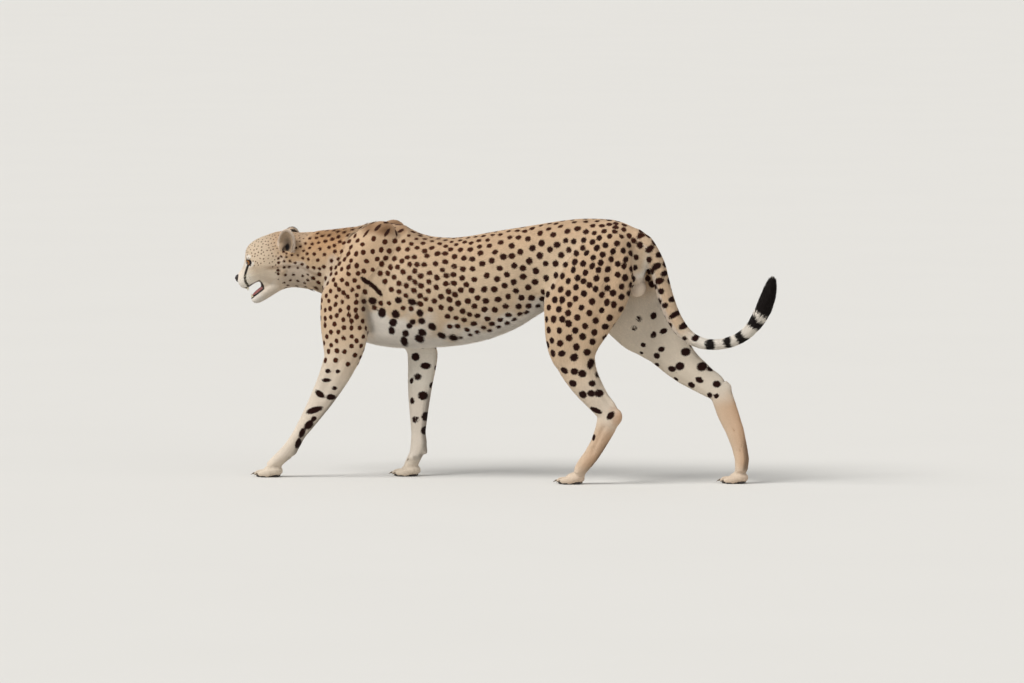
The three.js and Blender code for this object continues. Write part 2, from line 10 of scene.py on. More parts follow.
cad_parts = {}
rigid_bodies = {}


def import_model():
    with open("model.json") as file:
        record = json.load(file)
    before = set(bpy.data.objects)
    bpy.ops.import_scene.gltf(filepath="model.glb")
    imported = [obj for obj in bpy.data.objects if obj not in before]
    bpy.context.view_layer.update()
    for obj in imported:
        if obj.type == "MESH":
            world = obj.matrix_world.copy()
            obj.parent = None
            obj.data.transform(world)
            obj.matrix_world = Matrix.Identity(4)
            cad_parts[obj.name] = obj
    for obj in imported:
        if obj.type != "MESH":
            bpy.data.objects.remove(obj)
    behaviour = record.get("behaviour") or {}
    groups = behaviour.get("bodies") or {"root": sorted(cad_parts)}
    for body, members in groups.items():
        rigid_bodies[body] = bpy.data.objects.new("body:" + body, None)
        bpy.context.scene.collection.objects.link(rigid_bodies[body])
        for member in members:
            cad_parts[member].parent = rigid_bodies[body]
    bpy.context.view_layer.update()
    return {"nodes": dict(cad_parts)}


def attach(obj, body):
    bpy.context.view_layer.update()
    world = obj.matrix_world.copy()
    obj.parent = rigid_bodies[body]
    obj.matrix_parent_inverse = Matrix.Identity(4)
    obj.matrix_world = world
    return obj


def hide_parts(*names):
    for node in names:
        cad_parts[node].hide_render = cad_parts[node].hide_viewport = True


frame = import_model()
print("frame loaded")

planShift = np.array([-204.0, -0.1, 0.0])  # the body plan is in mm, with its middle this far off the frame's
hands = {"left": -1, "right": 1}
legHands = {"foreLeft": -1, "foreRight": 1, "hindLeft": -1, "hindRight": 1}


def toFrame(points):
    return (np.asarray(points, float) + planShift) / 1000


def toPlan(points):
    return np.asarray(points, float) * 1000 - planShift


def fade(value, start, end):  # 0 at start, 1 at end, smooth between
    share = np.clip((value - start) / (end - start), 0, 1)
    return share * share * (3 - 2 * share)


def blend(low, high, share):
    return low + (high - low) * share


def blendAll(lows, highs, share):
    return [blend(low, high, share) for low, high in zip(lows, highs)]


def unit(vectors):
    return vectors / np.maximum(np.linalg.norm(vectors, axis=-1, keepdims=True), 1e-9)


# The head's own frame: x runs back from the tip of the nose, z up, y to the animal's right.
headPlace = {"nose": np.array([-639.0, -32.0, 603.0]), "pitch": 27, "yaw": 10}
headTurn = np.array(
    Matrix.Rotation(math.radians(headPlace["yaw"]), 3, "Z")
    @ Matrix.Rotation(math.radians(-headPlace["pitch"]), 3, "Y")
)


def headToPlan(points):
    return np.asarray(points, float) @ headTurn.T + headPlace["nose"]


def planToHead(points):
    return (points - headPlace["nose"]) @ headTurn


jawPlace = {"hinge": np.array([150.0, 0.0, -30.0]), "open": 10}
jawTurn = np.array(Matrix.Rotation(math.radians(-jawPlace["open"]), 3, "Y"))


def jawToHead(points):
    return (np.asarray(points, float) - jawPlace["hinge"]) @ jawTurn.T + jawPlace["hinge"]


def headToJaw(points):
    return (points - jawPlace["hinge"]) @ jawTurn + jawPlace["hinge"]


# The lines that the body is built round, each with how far the flesh reaches from it.
chains = {
    "head": (
        [headToPlan(p) for p in ((0, 0, -8), (55, 0, 2), (120, 0, -5), (215, 0, -12))],
        (34, 50, 78, 74),
    ),
    "neck": ([(-455, -8, 664), (-390, 0, 660), (-320, 0, 650)], (88, 92, 105)),
    "trunk": (
        [(-330, 0, 620), (-200, 0, 590), (0, 0, 575), (180, 0, 600), (320, 0, 655), (480, 0, 685),
         (610, 0, 690)],
        (110, 155, 155, 145, 128, 118, 70),
    ),
    "tail": (
        [(640, 0, 732), (671, 0, 686), (697, 0, 610), (729, 0, 516), (782, 0, 447), (860, 0, 426),
         (948, 0, 452), (1010, 0, 528), (1038, 0, 612), (1043, 0, 640)],
        (34, 29, 27, 26, 23, 19, 21, 24, 16, 8),
    ),
    "foreLeft": (
        [(-150, -54, 766), (-218, -65, 674), (-280, -71, 556), (-284, -75, 470), (-290, -79, 380),
         (-329, -77, 288), (-396, -72, 180), (-448, -69, 100), (-474, -69, 72), (-505, -69, 34),
         (-560, -69, 14)],
        (60, 84, 82, 76, 58, 44, 28, 24, 23, 26, 26),
    ),
    "foreRight": (
        [(-152, 54, 765), (-202, 65, 669), (-204, 71, 545), (-130, 75, 460), (-82, 79, 372), (-84, 77, 288),
         (-88, 72, 184), (-88, 69, 102), (-96, 69, 68), (-112, 69, 34), (-160, 69, 14)],
        (58, 82, 80, 66, 46, 41, 29, 25, 23, 26, 26),
    ),
    "hindLeft": (
        [(548, -56, 728), (500, -66, 640), (460, -74, 525), (441, -80, 430), (455, -82, 352), (500, -80, 280),
         (556, -77, 214), (535, -76, 158), (496, -75, 88), (458, -75, 30), (400, -75, 14)],
        (85, 118, 112, 82, 58, 44, 32, 31, 25, 26, 26),
    ),
    "hindRight": (
        [(558, 56, 728), (556, 66, 640), (590, 74, 515), (660, 80, 430), (720, 82, 380), (792, 79, 324),
         (862, 76, 282), (884, 76, 216), (916, 75, 135), (930, 75, 34), (872, 75, 14)],
        (82, 108, 104, 76, 60, 48, 34, 34, 27, 26, 26),
    ),
}
partNames = [*chains, "ear"]
partOf = {name: i for i, name in enumerate(partNames)}
earPlace = {
    "at": (197, 60, 28), "opens": (-0.42, 0.9, 0.1), "points": (0.42, 0.3, 0.85), "size": (20, 33, 48),
}
earRim = {"width": 29, "height": 44}
# Each paw's place and side, and how long and high its toes are.
paws = [(-512, 69, -1, 27, 13.5), (-112, 69, 1, 27, 13.5), (446, 75, -1, 26, 13), (920, 75, 1, 26, 13)]
clefts = (-16.2, 0, 16.2)  # between the toes
purseForm = {"at": (621, 0, 595), "size": (26.5, 24, 29), "coat": (30, 27, 32)}


def onLegs(part):
    return (part >= partOf["foreLeft"]) & (part <= partOf["hindRight"])


def sideFrame(at, look, lean, hand):  # axes: ahead, sideways, up
    ahead = Vector((look[0], hand * look[1], look[2])).normalized()
    side = Vector((lean[0], hand * lean[1], lean[2])).cross(ahead).normalized()
    turn = np.array([ahead, side, ahead.cross(side)]).T
    return np.array([at[0], hand * at[1], at[2]], float), turn


def earFrame(hand):
    return sideFrame(earPlace["at"], earPlace["opens"], earPlace["points"], hand)


# Where points lie in an ear's own frame, how near they are to its rim, and whether they face out of the cup.
def earView(local, normals, hand):
    at, turn = earFrame(hand)
    lobe = (local - at) @ turn
    rimShare = np.hypot(lobe[:, 1] / earRim["width"], lobe[:, 2] / earRim["height"])
    return lobe, rimShare, normals @ (headTurn @ turn[:, 0]) > 0.15


def inEllipsoid(points, form):  # below 1 inside the form, which is a middle and three half sizes
    middle, size = np.array(form[:3], float), np.array(form[3:], float)
    return (((points - middle) / size) ** 2).sum(1)


def nearestOn(points, line, reach):
    line = np.asarray(line, float)
    ways = unit(np.diff(line, axis=0))
    turns = unit(np.vstack([ways[:1], ways[:-1] + ways[1:], ways[-1:]]))
    best = np.full(len(points), 1e9)
    run = np.zeros(len(points))
    way = np.zeros((len(points), 3))
    axis = np.zeros((len(points), 3))
    done = 0.0
    for i in range(len(line) - 1):
        step = line[i + 1] - line[i]
        size = np.linalg.norm(step)
        share = np.clip((points - line[i]) @ step / size**2, 0, 1)
        foot = line[i] + share[:, None] * step
        near = np.linalg.norm(points - foot, axis=1) / (reach[i] + (reach[i + 1] - reach[i]) * share)
        closer = near < best
        best[closer] = near[closer]
        run[closer] = done + share[closer] * size
        way[closer] = (turns[i] + share[:, None] * (turns[i + 1] - turns[i]))[closer]
        axis[closer] = foot[closer]
        done += size
    return best, run, way, axis


# Which part each point belongs to, how the hair lies there, and where it falls along and round that part.
def survey(points, normals):
    names = list(chains)
    found = [nearestOn(points, *chains[name]) for name in names]
    near = np.array([f[0] for f in found])
    part = near.argmin(0)
    weight = np.exp(-5 * (near - near.min(0)))
    lie = sum(weight[i][:, None] * found[i][2] for i in range(len(names)))
    trunk = names.index("trunk")
    lie[:, 2] -= 0.35 * weight[trunk]
    rows = np.arange(len(points))
    run = np.array([f[1] for f in found])[part, rows]
    axis = np.array([f[3] for f in found])[part, rows]
    way = np.array([f[2] for f in found])[part, rows]
    out = points - axis
    across = unit(np.cross(way, np.array([0.0, 1.0, 0.0])))
    height = (out * across).sum(1)
    width = out[:, 1] * np.where(np.isin(part, (partOf["foreLeft"], partOf["hindLeft"])), -1, 1)
    angle = np.where(onLegs(part), np.arctan2(height, width), np.arctan2(width, height))
    radius = np.linalg.norm(out, axis=1)
    for hand in hands.values():
        at, turn = earFrame(hand)
        local = (planToHead(points) - at) @ turn
        inEar = (inEllipsoid(local, (0, 0, 0, *earPlace["size"])) < 1) & (local[:, 2] > -26)
        lie[inEar] = headTurn @ turn[:, 2] + 0.5 * unit(local[inEar] @ turn.T @ headTurn.T)
        part = np.where(inEar, partOf["ear"], part)
    lie = unit(lie - (lie * normals).sum(1)[:, None] * normals)
    share = np.exp(-14 * (near - near.min(0)))
    share /= share.sum(0)
    return {"part": part, "lie": lie, "run": run, "angle": angle, "radius": radius, "share": share}


# Heights of the trunk's top and bottom along it.
trunkLine = {
    "x": (-335, -250, -110, 60, 200, 320, 440, 562, 650),
    "top": (715, 763, 761, 740, 766, 786, 803, 797, 738),
    "bottom": (482, 420, 398, 411, 448, 517, 556, 568, 650),
}


def trunkLevel(points):  # 0 at the bottom of the trunk, 1 at its top
    top, bottom = (np.interp(points[:, 0], trunkLine["x"], trunkLine[end]) for end in ("top", "bottom"))
    return (points[:, 2] - bottom) / (top - bottom)


# The slant is in degrees, with the inner corner down.
eyePlace = {
    "at": (69.8, 28.6, 28.4), "look": (-0.8, 0.58, 0.1), "slant": 12, "radius": 15.0,
    "width": 12.8, "height": 8.4,
}


def eyeFrame(hand):
    at, turn = sideFrame(eyePlace["at"], eyePlace["look"], (0, 0, 1), hand)
    slant = math.radians(eyePlace["slant"]) * hand
    c, s = math.cos(slant), math.sin(slant)
    return at, turn @ np.array([[1, 0, 0], [0, c, -s], [0, s, c]])


def eyeView(local, hand, wider=0.0, higher=0.0):  # the eye's own frame, and 1 at the edge of the lids
    at, turn = eyeFrame(hand)
    eye = (local - at) @ turn
    return eye, np.hypot(eye[:, 1] / (eyePlace["width"] + wider), eye[:, 2] / (eyePlace["height"] + higher))


# The tear line in the head's frame, from the inner corner of the eye to the lip, as x and z.
tearLine = [(58, 24), (47, 14), (37, 4), (29, -7), (25, -20), (26, -33)]
# Each lip is an arch round x, z with a length and a half width, and half the width of the dark line on it.
lips = {"upper": (52, -33, 46, 22), "lower": (60, -49, 51, 23), "half": 6.0}
mouthForms = {"palate": (48, 0, -48, 36, 18, 14), "trough": (46, 0, -40, 33, 16, 11)}
# where the painted shadow under the cheek runs, as plan x and z
cheekShadowLine = [(-569, 617), (-537, 639), (-483, 646), (-427, 647), (-373, 621)]


def lipRing(name, local):  # 1 on the line of the lip as seen from above
    middle, _, long, wide = lips[name]
    return np.hypot((local[:, 0] - middle) / long, local[:, 1] / wide)


# Where the whiskers stand on the muzzle, in the head's frame.
whiskerShape = {"rows": 4, "each": 5, "length": (55, 105), "half": 0.3, "steps": 7, "seed": 7}


def whiskerRoot(row, k, hand):
    return np.array([12 + 7.5 * k, hand * (25 + 1.6 * k), -8 - 6.0 * row + 1.2 * k])


def distanceTo(line, a, b):  # from points (a, b) to a line in the same plane
    best = np.full(len(a), 1e9)
    for (x0, y0), (x1, y1) in zip(line, line[1:]):
        size = (x1 - x0) ** 2 + (y1 - y0) ** 2
        share = np.clip(((a - x0) * (x1 - x0) + (b - y0) * (y1 - y0)) / size, 0, 1)
        best = np.minimum(best, np.hypot(a - x0 - share * (x1 - x0), b - y0 - share * (y1 - y0)))
    return best


# Marks that are listed one by one: x, y, z, half length, half width, slope in degrees seen from the left.
bars = [
    # behind the elbow and along the fold of the shoulder
    (-160, -88, 511, 11, 9, 75), (-115, -88, 508, 9, 9, 0), (-126, -88, 481, 10, 8, 50),
    (-134, -88, 456, 9, 7, 80), (-90, -88, 448, 8, 7, 40), (-100, -88, 423, 11, 8, 80),
    (-62, -88, 485, 7, 6, 30), (-74, -88, 472, 7, 6, 30), (-49, -88, 433, 10, 9, 0), (-36, -88, 452, 9, 8, 0),
    (-36, -88, 513, 8, 8, 0), (-33, -88, 488, 8, 7, 0), (-2, -88, 471, 9, 8, -30), (24, -88, 444, 9, 7, -20),
    (58, -88, 438, 9, 7, 0), (-59, -88, 546, 10, 7, -15), (-103, -88, 551, 8, 7, 0),
    (-188, -88, 547, 9, 8, 0),
    (-207, -104, 608, 13, 5, -40), (-191, -104, 598, 12, 5, -40), (-178, -104, 587, 11, 5, -45),
    (-166, -102, 574, 10, 5, -50),
    # left fore leg
    (-326, -92, 331, 9, 7, 0), (-294, -92, 331, 8, 6, 0), (-332, -92, 303, 15, 6, 0),
    (-307, -92, 279, 8, 6, 0), (-354, -92, 260, 18, 9, -30), (-320, -92, 251, 13, 9, 0),
    (-373, -92, 210, 27, 9, 18),
    (-392, -92, 164, 17, 10, 48), (-376, -92, 183, 9, 7, 40), (-414, -92, 139, 15, 8, 65),
    (-428, -92, 106, 16, 7, 70),
    # inner side of the right fore leg
    (-92, 50, 368, 13, 12, 0), (-61, 50, 341, 15, 10, 0), (-86, 50, 307, 13, 10, 0),
    (-106, 50, 294, 9, 7, 60), (-45, 50, 280, 10, 7, 80), (-70, 50, 249, 14, 13, 0),
    (-104, 50, 233, 10, 8, 80), (-64, 50, 185, 13, 10, 80), (-93, 50, 175, 12, 10, 0),
    (-66, 50, 142, 12, 10, 80), (-48, 50, 210, 7, 6, 0),
    # inner side of the right hind leg
    (659, 52, 507, 11, 9, 60), (614, 52, 497, 10, 9, 20), (599, 52, 469, 9, 8, 0), (659, 52, 449, 11, 9, 60),
    (690, 52, 461, 12, 8, 25), (627, 52, 418, 8, 7, 0), (618, 52, 393, 6, 5, 0), (684, 52, 406, 11, 8, 20),
    (668, 52, 385, 10, 9, 0), (665, 52, 357, 9, 6, 0), (715, 52, 346, 12, 9, 0), (741, 52, 355, 14, 12, 20),
    (757, 52, 398, 13, 12, 0), (807, 52, 354, 14, 13, 0), (801, 52, 314, 12, 9, -20),
    (775, 52, 298, 11, 9, -20), (832, 52, 348, 9, 8, 0), (854, 52, 302, 12, 10, 0), (832, 52, 268, 9, 8, 60),
    (854, 52, 266, 9, 7, 40), (725, 52, 315, 8, 5, -30),
    # left shank
    (414, -96, 399, 12, 9, 20), (452, -96, 388, 13, 11, 30), (499, -96, 367, 15, 8, 85),
    (420, -96, 347, 13, 9, -20), (453, -96, 345, 12, 10, 0), (477, -96, 339, 12, 11, 0),
    (521, -96, 338, 12, 8, 85), (446, -96, 308, 13, 10, 0), (506, -96, 309, 10, 9, 0),
    (477, -96, 275, 13, 11, 0), (504, -96, 279, 11, 10, 0), (526, -96, 279, 12, 11, 0),
    (515, -96, 227, 20, 8, -20), (561, -96, 212, 14, 9, 45), (506, -96, 187, 9, 6, 80),
    (507, -96, 144, 10, 6, 80),
    # bars before the rings of the tail, on both its sides
    (713, -22, 543, 10, 8, 30), (732, -22, 562, 10, 8, 40), (742, -22, 516, 19, 8, 35),
    (770, -22, 483, 16, 9, 30), (701, -22, 586, 10, 9, 0), (805, -22, 445, 10, 9, 0),
    (773, -22, 445, 8, 7, 0), (719, 22, 548, 10, 8, 30), (737, 22, 522, 17, 8, 35),
    (768, 22, 486, 16, 9, 30), (800, 22, 448, 11, 9, 0),
]
# Black rings round the tail, from and to along its line.
tailRings = [(381, 406), (438, 459), (477, 504), (538, 569), (584, 760)]
tailBare = 300  # spots end here along the tail
trunkSpots = {
    "x": (-330, -200, -60, 150, 330, 560),
    "spacing": (24, 25.5, 23.8, 28.7, 32.4, 32),
    "size": (9.2, 9.8, 10.1, 11, 12, 11.5),
}
# The same down the legs, and the height below which the inner sides count as such.
legSpots = {
    "fore": {"run": (0, 200, 420, 520, 620), "spacing": (28.5, 20.2, 25.5, 28, 32),
             "size": (10.2, 8.5, 9.1, 10.5, 9), "innerTop": 1000},
    "hind": {"run": (0, 150, 300, 420, 560), "spacing": (25.5, 27.5, 29.4, 30.6, 32),
             "size": (10.8, 11.7, 12.2, 12.6, 11.6), "innerTop": 590},
}
legBare = 640  # spots end here along a leg
innerSpots = {-1: (44, 10), 1: (44, 0)}  # spacing and size on the inner sides, where the right legs have bars


def spotPlan(points, normals, where):  # distance between spots and their half size, 0 where there are none
    x, y, z = points.T
    part, run = where["part"], where["run"]
    level = trunkLevel(points)
    spacing, size = (np.interp(x, trunkSpots["x"], trunkSpots[what]) for what in ("spacing", "size"))
    top = fade(level, 0.82, 0.98)
    spacing = spacing * (1 - 0.1 * top * fade(x, -160, 60))
    size = size * (1 - 0.22 * top)
    low = fade(level, 0.16, 0.02)
    size = np.where(low > 0.9, 0, size * (1 - 0.25 * low))
    neck = part == partOf["neck"]
    throat = neck & (z < 640)
    spacing[neck] = np.interp(x[neck], (-460, -330), (15, 22))
    size[neck] = np.interp(x[neck], (-460, -330), (5.2, 8))
    spacing[throat] = 20.5
    size[throat] = 6
    local = planToHead(points)
    head = part == partOf["head"]
    spacing[head] = 10
    size[head] = 2.5
    bareFace = head & ((local[:, 0] < 58) | (local[:, 2] < 8) & (local[:, 0] < 120))
    size[bareFace | (part == partOf["ear"])] = 0
    for name, hand in legHands.items():
        leg = part == partOf[name]
        plan = legSpots[name[:4]]
        spacing[leg] = np.interp(run[leg], plan["run"], plan["spacing"])
        size[leg] = np.interp(run[leg], plan["run"], plan["size"])
        inner = leg & (normals[:, 1] * hand < -0.25) & (z < plan["innerTop"])
        spacing[inner], size[inner] = innerSpots[hand]
        size[leg & (run > legBare)] = 0
    outer = normals[:, 1] < -0.2  # the lower left legs have bars there
    size[(part == partOf["foreLeft"]) & (z < 340) & (z > 60) & outer] = 0
    size[(part == partOf["hindLeft"]) & (z < 385) & outer] = 0
    tail = part == partOf["tail"]
    spacing[tail] = 30
    size[tail] = 9.8
    size[tail & (run > tailBare)] = 0
    back = (x > 590) & (np.abs(y) < 30) & (z > 520) & (normals[:, 0] > 0.1) & ~tail
    size[back] = 0
    elbow = (x > -215) & (x < 40) & (z < 515) & (part == partOf["trunk"]) & (y < 0)
    size[elbow] = 0
    return spacing, size


def treeOf(points):
    tree = KDTree(len(points))
    for i, point in enumerate(points):
        tree.insert(point, i)
    tree.balance()
    return tree


# Moves each pick to the middle of the skin that is nearer to it than to any other, around the fixed marks.
def evenOut(picks, marks, points, rounds):
    picks = np.array(picks)
    skinTree = treeOf(points)
    for _ in range(rounds):
        centres = treeOf(np.concatenate([points[picks], np.array(marks)]))
        owner = np.array([centres.find(point)[1] for point in points])
        for i in range(len(picks)):
            picks[i] = skinTree.find(points[owner == i].mean(axis=0))[1]
    return picks


# Picking ends when no place is farther off than this share of its spacing, and rounds of evening out follow.
scatter = {"groundSeed": 3, "seed": 5, "samples": 60000, "share": 0.84, "rounds": 2, "sway": 0.8}


# Spot centres as evenly apart as a real coat has them: each is the point farthest from all before it.
def scatterSpots(points, normals):
    draw = np.random.default_rng(scatter["seed"])
    placed = []
    for x, y, z, long, short, slope in bars:
        side = 1 if y == 22 else -1
        grow = 1.58 if z > 415 and x < 60 else 1.12  # the marks behind the elbow are the boldest
        near = (np.hypot(points[:, 0] - x, points[:, 2] - z) < 14) & (np.abs(points[:, 1] - y) < 55)
        near &= normals[:, 1] * side > 0.2
        depth = side * np.percentile(side * points[near, 1], 70) if near.any() else y
        placed.append((x, depth, z, long * grow, short * grow, slope, side))
    where = survey(points, normals)
    spacing, size = spotPlan(points, normals, where)
    keep = size > 0
    points, normals, spacing, size = points[keep], normals[keep], spacing[keep], size[keep]
    lie, part, level = where["lie"][keep], where["part"][keep], trunkLevel(points)
    spacing = spacing * draw.uniform(0.92, 1.08, len(points))
    room = np.full(len(points), 1e9)
    for x, y, z, *_ in placed:
        room = np.minimum(room, np.linalg.norm(points - (x, y, z), axis=1) - 6)
    picks = [int(draw.integers(len(points)))]
    while True:
        room = np.minimum(room, np.linalg.norm(points - points[picks[-1]], axis=1))
        pick = int((room / spacing).argmax())
        if room[pick] < spacing[pick] * scatter["share"]:
            break
        picks.append(pick)
    spots = []
    for pick in evenOut(picks, [mark[:3] for mark in placed], points, scatter["rounds"]):
        long = size[pick] * draw.uniform(0.9, 1.1)
        short = size[pick] * draw.uniform(0.8, 0.98)
        turn = unit(lie[pick] + scatter["sway"] * draw.normal(size=3))
        if -230 < points[pick][0] < -90 and points[pick][2] > 744:  # streaks over the shoulder blades
            long, short, turn = long * 1.6, short * 0.66, lie[pick]
        if part[pick] == partOf["tail"]:  # short bars across the tail
            long, short, turn = long * 1.9, short * 1.12, unit(np.cross(lie[pick], normals[pick]))
        x = points[pick][0]
        tone = np.interp(x, (-300, -100, 150, 350), (0.3, 0.35, 0.7, 0.95))
        tone = tone * (1 - 0.45 * float(fade(level[pick], 0.75, 0.95)))
        if part[pick] in (partOf["neck"], partOf["head"]):
            tone = 0.35
        spots.append((*points[pick], *turn, long, short, min(tone * draw.uniform(0.85, 1.1), 0.99), 0))
    for x, y, z, long, short, slope, side in placed:
        angle = math.radians(slope)
        spots.append((x, y, z, math.cos(angle), 0, math.sin(angle), long, short, 1.0, side))
    return np.array(spots)


fieldEnd = 3.0  # spots are no longer felt this far out, in their own size


# How far each point is from the nearest spot, in that spot's own size, and how black that spot is.
def spotField(points, normals, spots):
    order = np.argsort(points[:, 0])
    sorted3 = points[order]
    facing = normals[order, 1]
    field = np.full(len(points), fieldEnd)
    tone = np.zeros(len(points))
    for x, y, z, dx, dy, dz, long, short, black, side in spots:
        reach = 2.0 * long
        start, end = np.searchsorted(sorted3[:, 0], (x - reach, x + reach))
        away = sorted3[start:end] - (x, y, z)
        if side:  # a listed mark reaches deep, but only on its own side
            away[:, 1] = 0.14 * away[:, 1] + 99 * (facing[start:end] * side < -0.1)
        along = away @ (dx, dy, dz)
        across = np.sqrt(np.maximum((away**2).sum(1) - along**2, 0))
        share = np.hypot(along / long, across / short)
        closer = share < field[start:end]
        field[start:end][closer] = share[closer]
        tone[start:end][closer] = black
    result = np.empty(len(points))
    shade = np.empty(len(points))
    result[order] = field
    shade[order] = tone
    return result, shade


def onPurse(points):
    return inEllipsoid(points, (*purseForm["at"], *purseForm["size"])) < 1.25


def spotless(points, where):
    return (where["part"] == partOf["tail"]) & (where["run"] > tailBare + 60) | onPurse(points)


# Pale, warm and dark shares of the head, and where the inside of the mouth shows.
def paintFace(points, normals, local, ripple):
    hx, hy, hz = local.T
    jawLocal = headToJaw(local)
    facePale = 0.24 + 0.46 * fade(hx, 75, 30) + 0.3 * fade(hz, 12, -30) * fade(hx, 150, 60)
    faceWarm = 0.08 + 0.3 * fade(hx, 120, 200) * fade(hz, -10, 40)
    muzzle = fade(hx, 62, 45) * fade(hz, 12, -8)
    facePale = np.maximum(facePale, 0.95 * muzzle)
    chin = fade(jawLocal[:, 2], -40, -50) * fade(hx, 150, 95) * fade(hz, -30, -48)
    facePale = np.maximum(facePale, 0.66 * chin)
    faceDark = np.zeros(len(points))
    for hand in hands.values():
        eye, around = eyeView(local, hand)
        front = eye[:, 0] > 2
        rim = fade(around, 1.34, 1.14) * front
        ring = fade(around, 2.3, 1.8) * fade(eye[:, 2], 6, -4) * front
        above = fade(np.hypot((eye[:, 1] + 3 * hand) / 13, (eye[:, 2] - 16) / 7), 1.3, 0.7) * front
        facePale = np.maximum(facePale, 0.9 * np.maximum(ring, above))
        faceDark = np.maximum(faceDark, rim)
        eyeCorner = np.exp(-((hx - 57) ** 2 + (hy - hand * 22) ** 2 + (hz - 22) ** 2) / 5.0**2)
        faceDark = np.maximum(faceDark, fade(eyeCorner, 0.15, 0.5))
        for row in range(whiskerShape["rows"]):
            for k in range(whiskerShape["each"]):
                away = local - whiskerRoot(row, k, hand)
                dot = np.exp(-(away[:, 0] ** 2 + away[:, 2] ** 2) / 1.7**2) * fade(hy * hand, 8, 12)
                faceDark = np.maximum(faceDark, 0.5 * dot)
    leather = fade(np.hypot(hy / 13, (hz - 1) / 15), 1.08, 0.92) * fade(hx, 13, 9)
    faceDark = np.maximum(faceDark, 0.85 * leather)
    tear = fade(distanceTo(tearLine, hx, hz), 5.4, 2.8) * fade(np.abs(hy), 12, 16) * (hx < 62)
    faceDark = np.maximum(faceDark, 0.85 * tear)
    gum = np.zeros(len(points))
    for name, where3, up in (("upper", local, -1), ("lower", jawLocal, 1)):
        _, level, _, wide = lips[name]
        ring = lipRing(name, where3)
        off = np.hypot((ring - 1) * wide, where3[:, 2] - level - (-5 if name == "upper" else 2))
        lipMask = fade(off, lips["half"], lips["half"] - 2.5) * fade(hx, 70, 64)
        faceDark = np.maximum(faceDark, lipMask * (0.9 if name == "lower" else 0.75))
        within = fade(ring, 0.86, 0.72) * fade(np.abs(where3[:, 2] - level), 14, 9)
        gum = np.maximum(gum, within * fade(up * normals[:, 2], 0.0, 0.3))
    lipCorner = fade(np.hypot((hx - 64) / 6, (hz + 52) / 13), 1.25, 0.7) * fade(np.abs(hy), 12, 17)
    faceDark = np.maximum(faceDark, 0.85 * lipCorner)
    palate, trough = inEllipsoid(local, mouthForms["palate"]), inEllipsoid(jawLocal, mouthForms["trough"])
    inMouth = np.minimum(palate, trough)
    mouth = np.maximum(fade(inMouth, 1.25, 1.0), gum) * fade(hx, 80, 72)
    # painted shade under the head: the throat behind the jaw is made darker
    under = fade(points[:, 2] + 60 * ripple, 640, 618) * fade(hx, 95, 130)
    facePale = blend(facePale, 0.6, under)
    faceDark = np.maximum(faceDark, 0.18 * under)
    return facePale, faceWarm, faceDark, mouth


# Pale, warm and dark shares of the coat on a leg, on the tail and on the ears.
def paintLeg(points, normals, run, name, hand):
    x, _, z = points.T
    fore = name.startswith("fore")
    inner = fade(-normals[:, 1] * hand, 0.0, 0.5) * fade(z, 640, 540)
    down = fade(run, 330, 560) * (0.55 if fore else 0.45)
    legPale = np.maximum(0.12 + down, (0.8 if fore else 0.5) * inner)
    legWarm = 0.18 * (1 - fade(run, 200, 480)) + 0.1
    if fore:
        # painted shade down the back of the lower fore leg
        back = fade(normals[:, 0], 0.2, 0.8) * fade(z, 330, 230) * fade(z, 20, 70)
    else:
        shin = fade(run, 575, 640)
        legPale = blend(legPale, 0.3, 0.8 * shin)
        legWarm = legWarm + 0.48 * shin * (0.6 + 0.4 * normals[:, 0])
        heelX, heelZ = (582, 205) if hand < 0 else (884, 286)
        heel = np.exp(-(((x - heelX) / 30) ** 2) - ((z - heelZ) / 38) ** 2)
        legWarm = np.maximum(legWarm, 0.62 * heel * fade(normals[:, 0], -0.2, 0.5))
        back = fade(normals[:, 0], 0.3, 0.85) * fade(z, 180, 110) * fade(z, 15, 50)
    legWarm = legWarm * (1 - inner * fade(z, 230, 300))
    foot = fade(z, 70, 25)
    legPale = blend(legPale, 0.5, foot)
    legWarm = legWarm * (1 - 0.5 * foot)
    return legPale, legWarm, 0.5 * back


def paintTail(normals, run, angle):
    whiteTail = 0.85 * fade(run, tailBare - 60, tailBare + 70)
    under = fade(-normals[:, 0] - 0.4 * normals[:, 2], 0.1, 0.8) * 0.6
    wobble = 3 * np.sin(angle * 2 + run / 9)
    rings = np.zeros(len(run))
    for start, end in tailRings:
        ring = fade(run + wobble, start - 3, start + 3) * fade(run + wobble, end + 3, end - 3)
        rings = np.maximum(rings, ring)
    rings = rings * (1 - 0.6 * fade(run, 700, 706))
    return np.maximum(whiteTail, 0.15 + under), 0.22 * (1 - whiteTail), rings


def paintEars(local, normals, ear, tint):
    pale, warm, dark = tint
    for hand in hands.values():
        lobe, rimShare, inside = earView(local, normals, hand)
        mine = ear & (local[:, 1] * hand > 0)
        edge = fade(rimShare, 0.78, 0.92)
        # painted shade in the hollow of the ear: darker in its well and deepest at its base
        earWellShade = fade(np.hypot(lobe[:, 1] / 22, (lobe[:, 2] + 4) / 34), 1.15, 0.3)
        earDeepShade = fade(np.hypot(lobe[:, 1] / 9, (lobe[:, 2] + 14) / 15), 1.2, 0.3)
        pale = np.where(mine & inside, 0.2 + 0.45 * edge, pale)
        dark = np.where(mine & inside, 0.3 * (1 - edge) + 0.3 * earWellShade + 0.35 * earDeepShade, dark)
        warm = np.where(mine, 0.25, warm)
        band = fade(rimShare, 0.95, 0.75) * fade(rimShare, 0.1, 0.3)
        pale = np.where(mine & ~inside, 0.4, pale)
        dark = np.where(mine & ~inside, 0.8 * band, dark)
    return pale, warm, dark


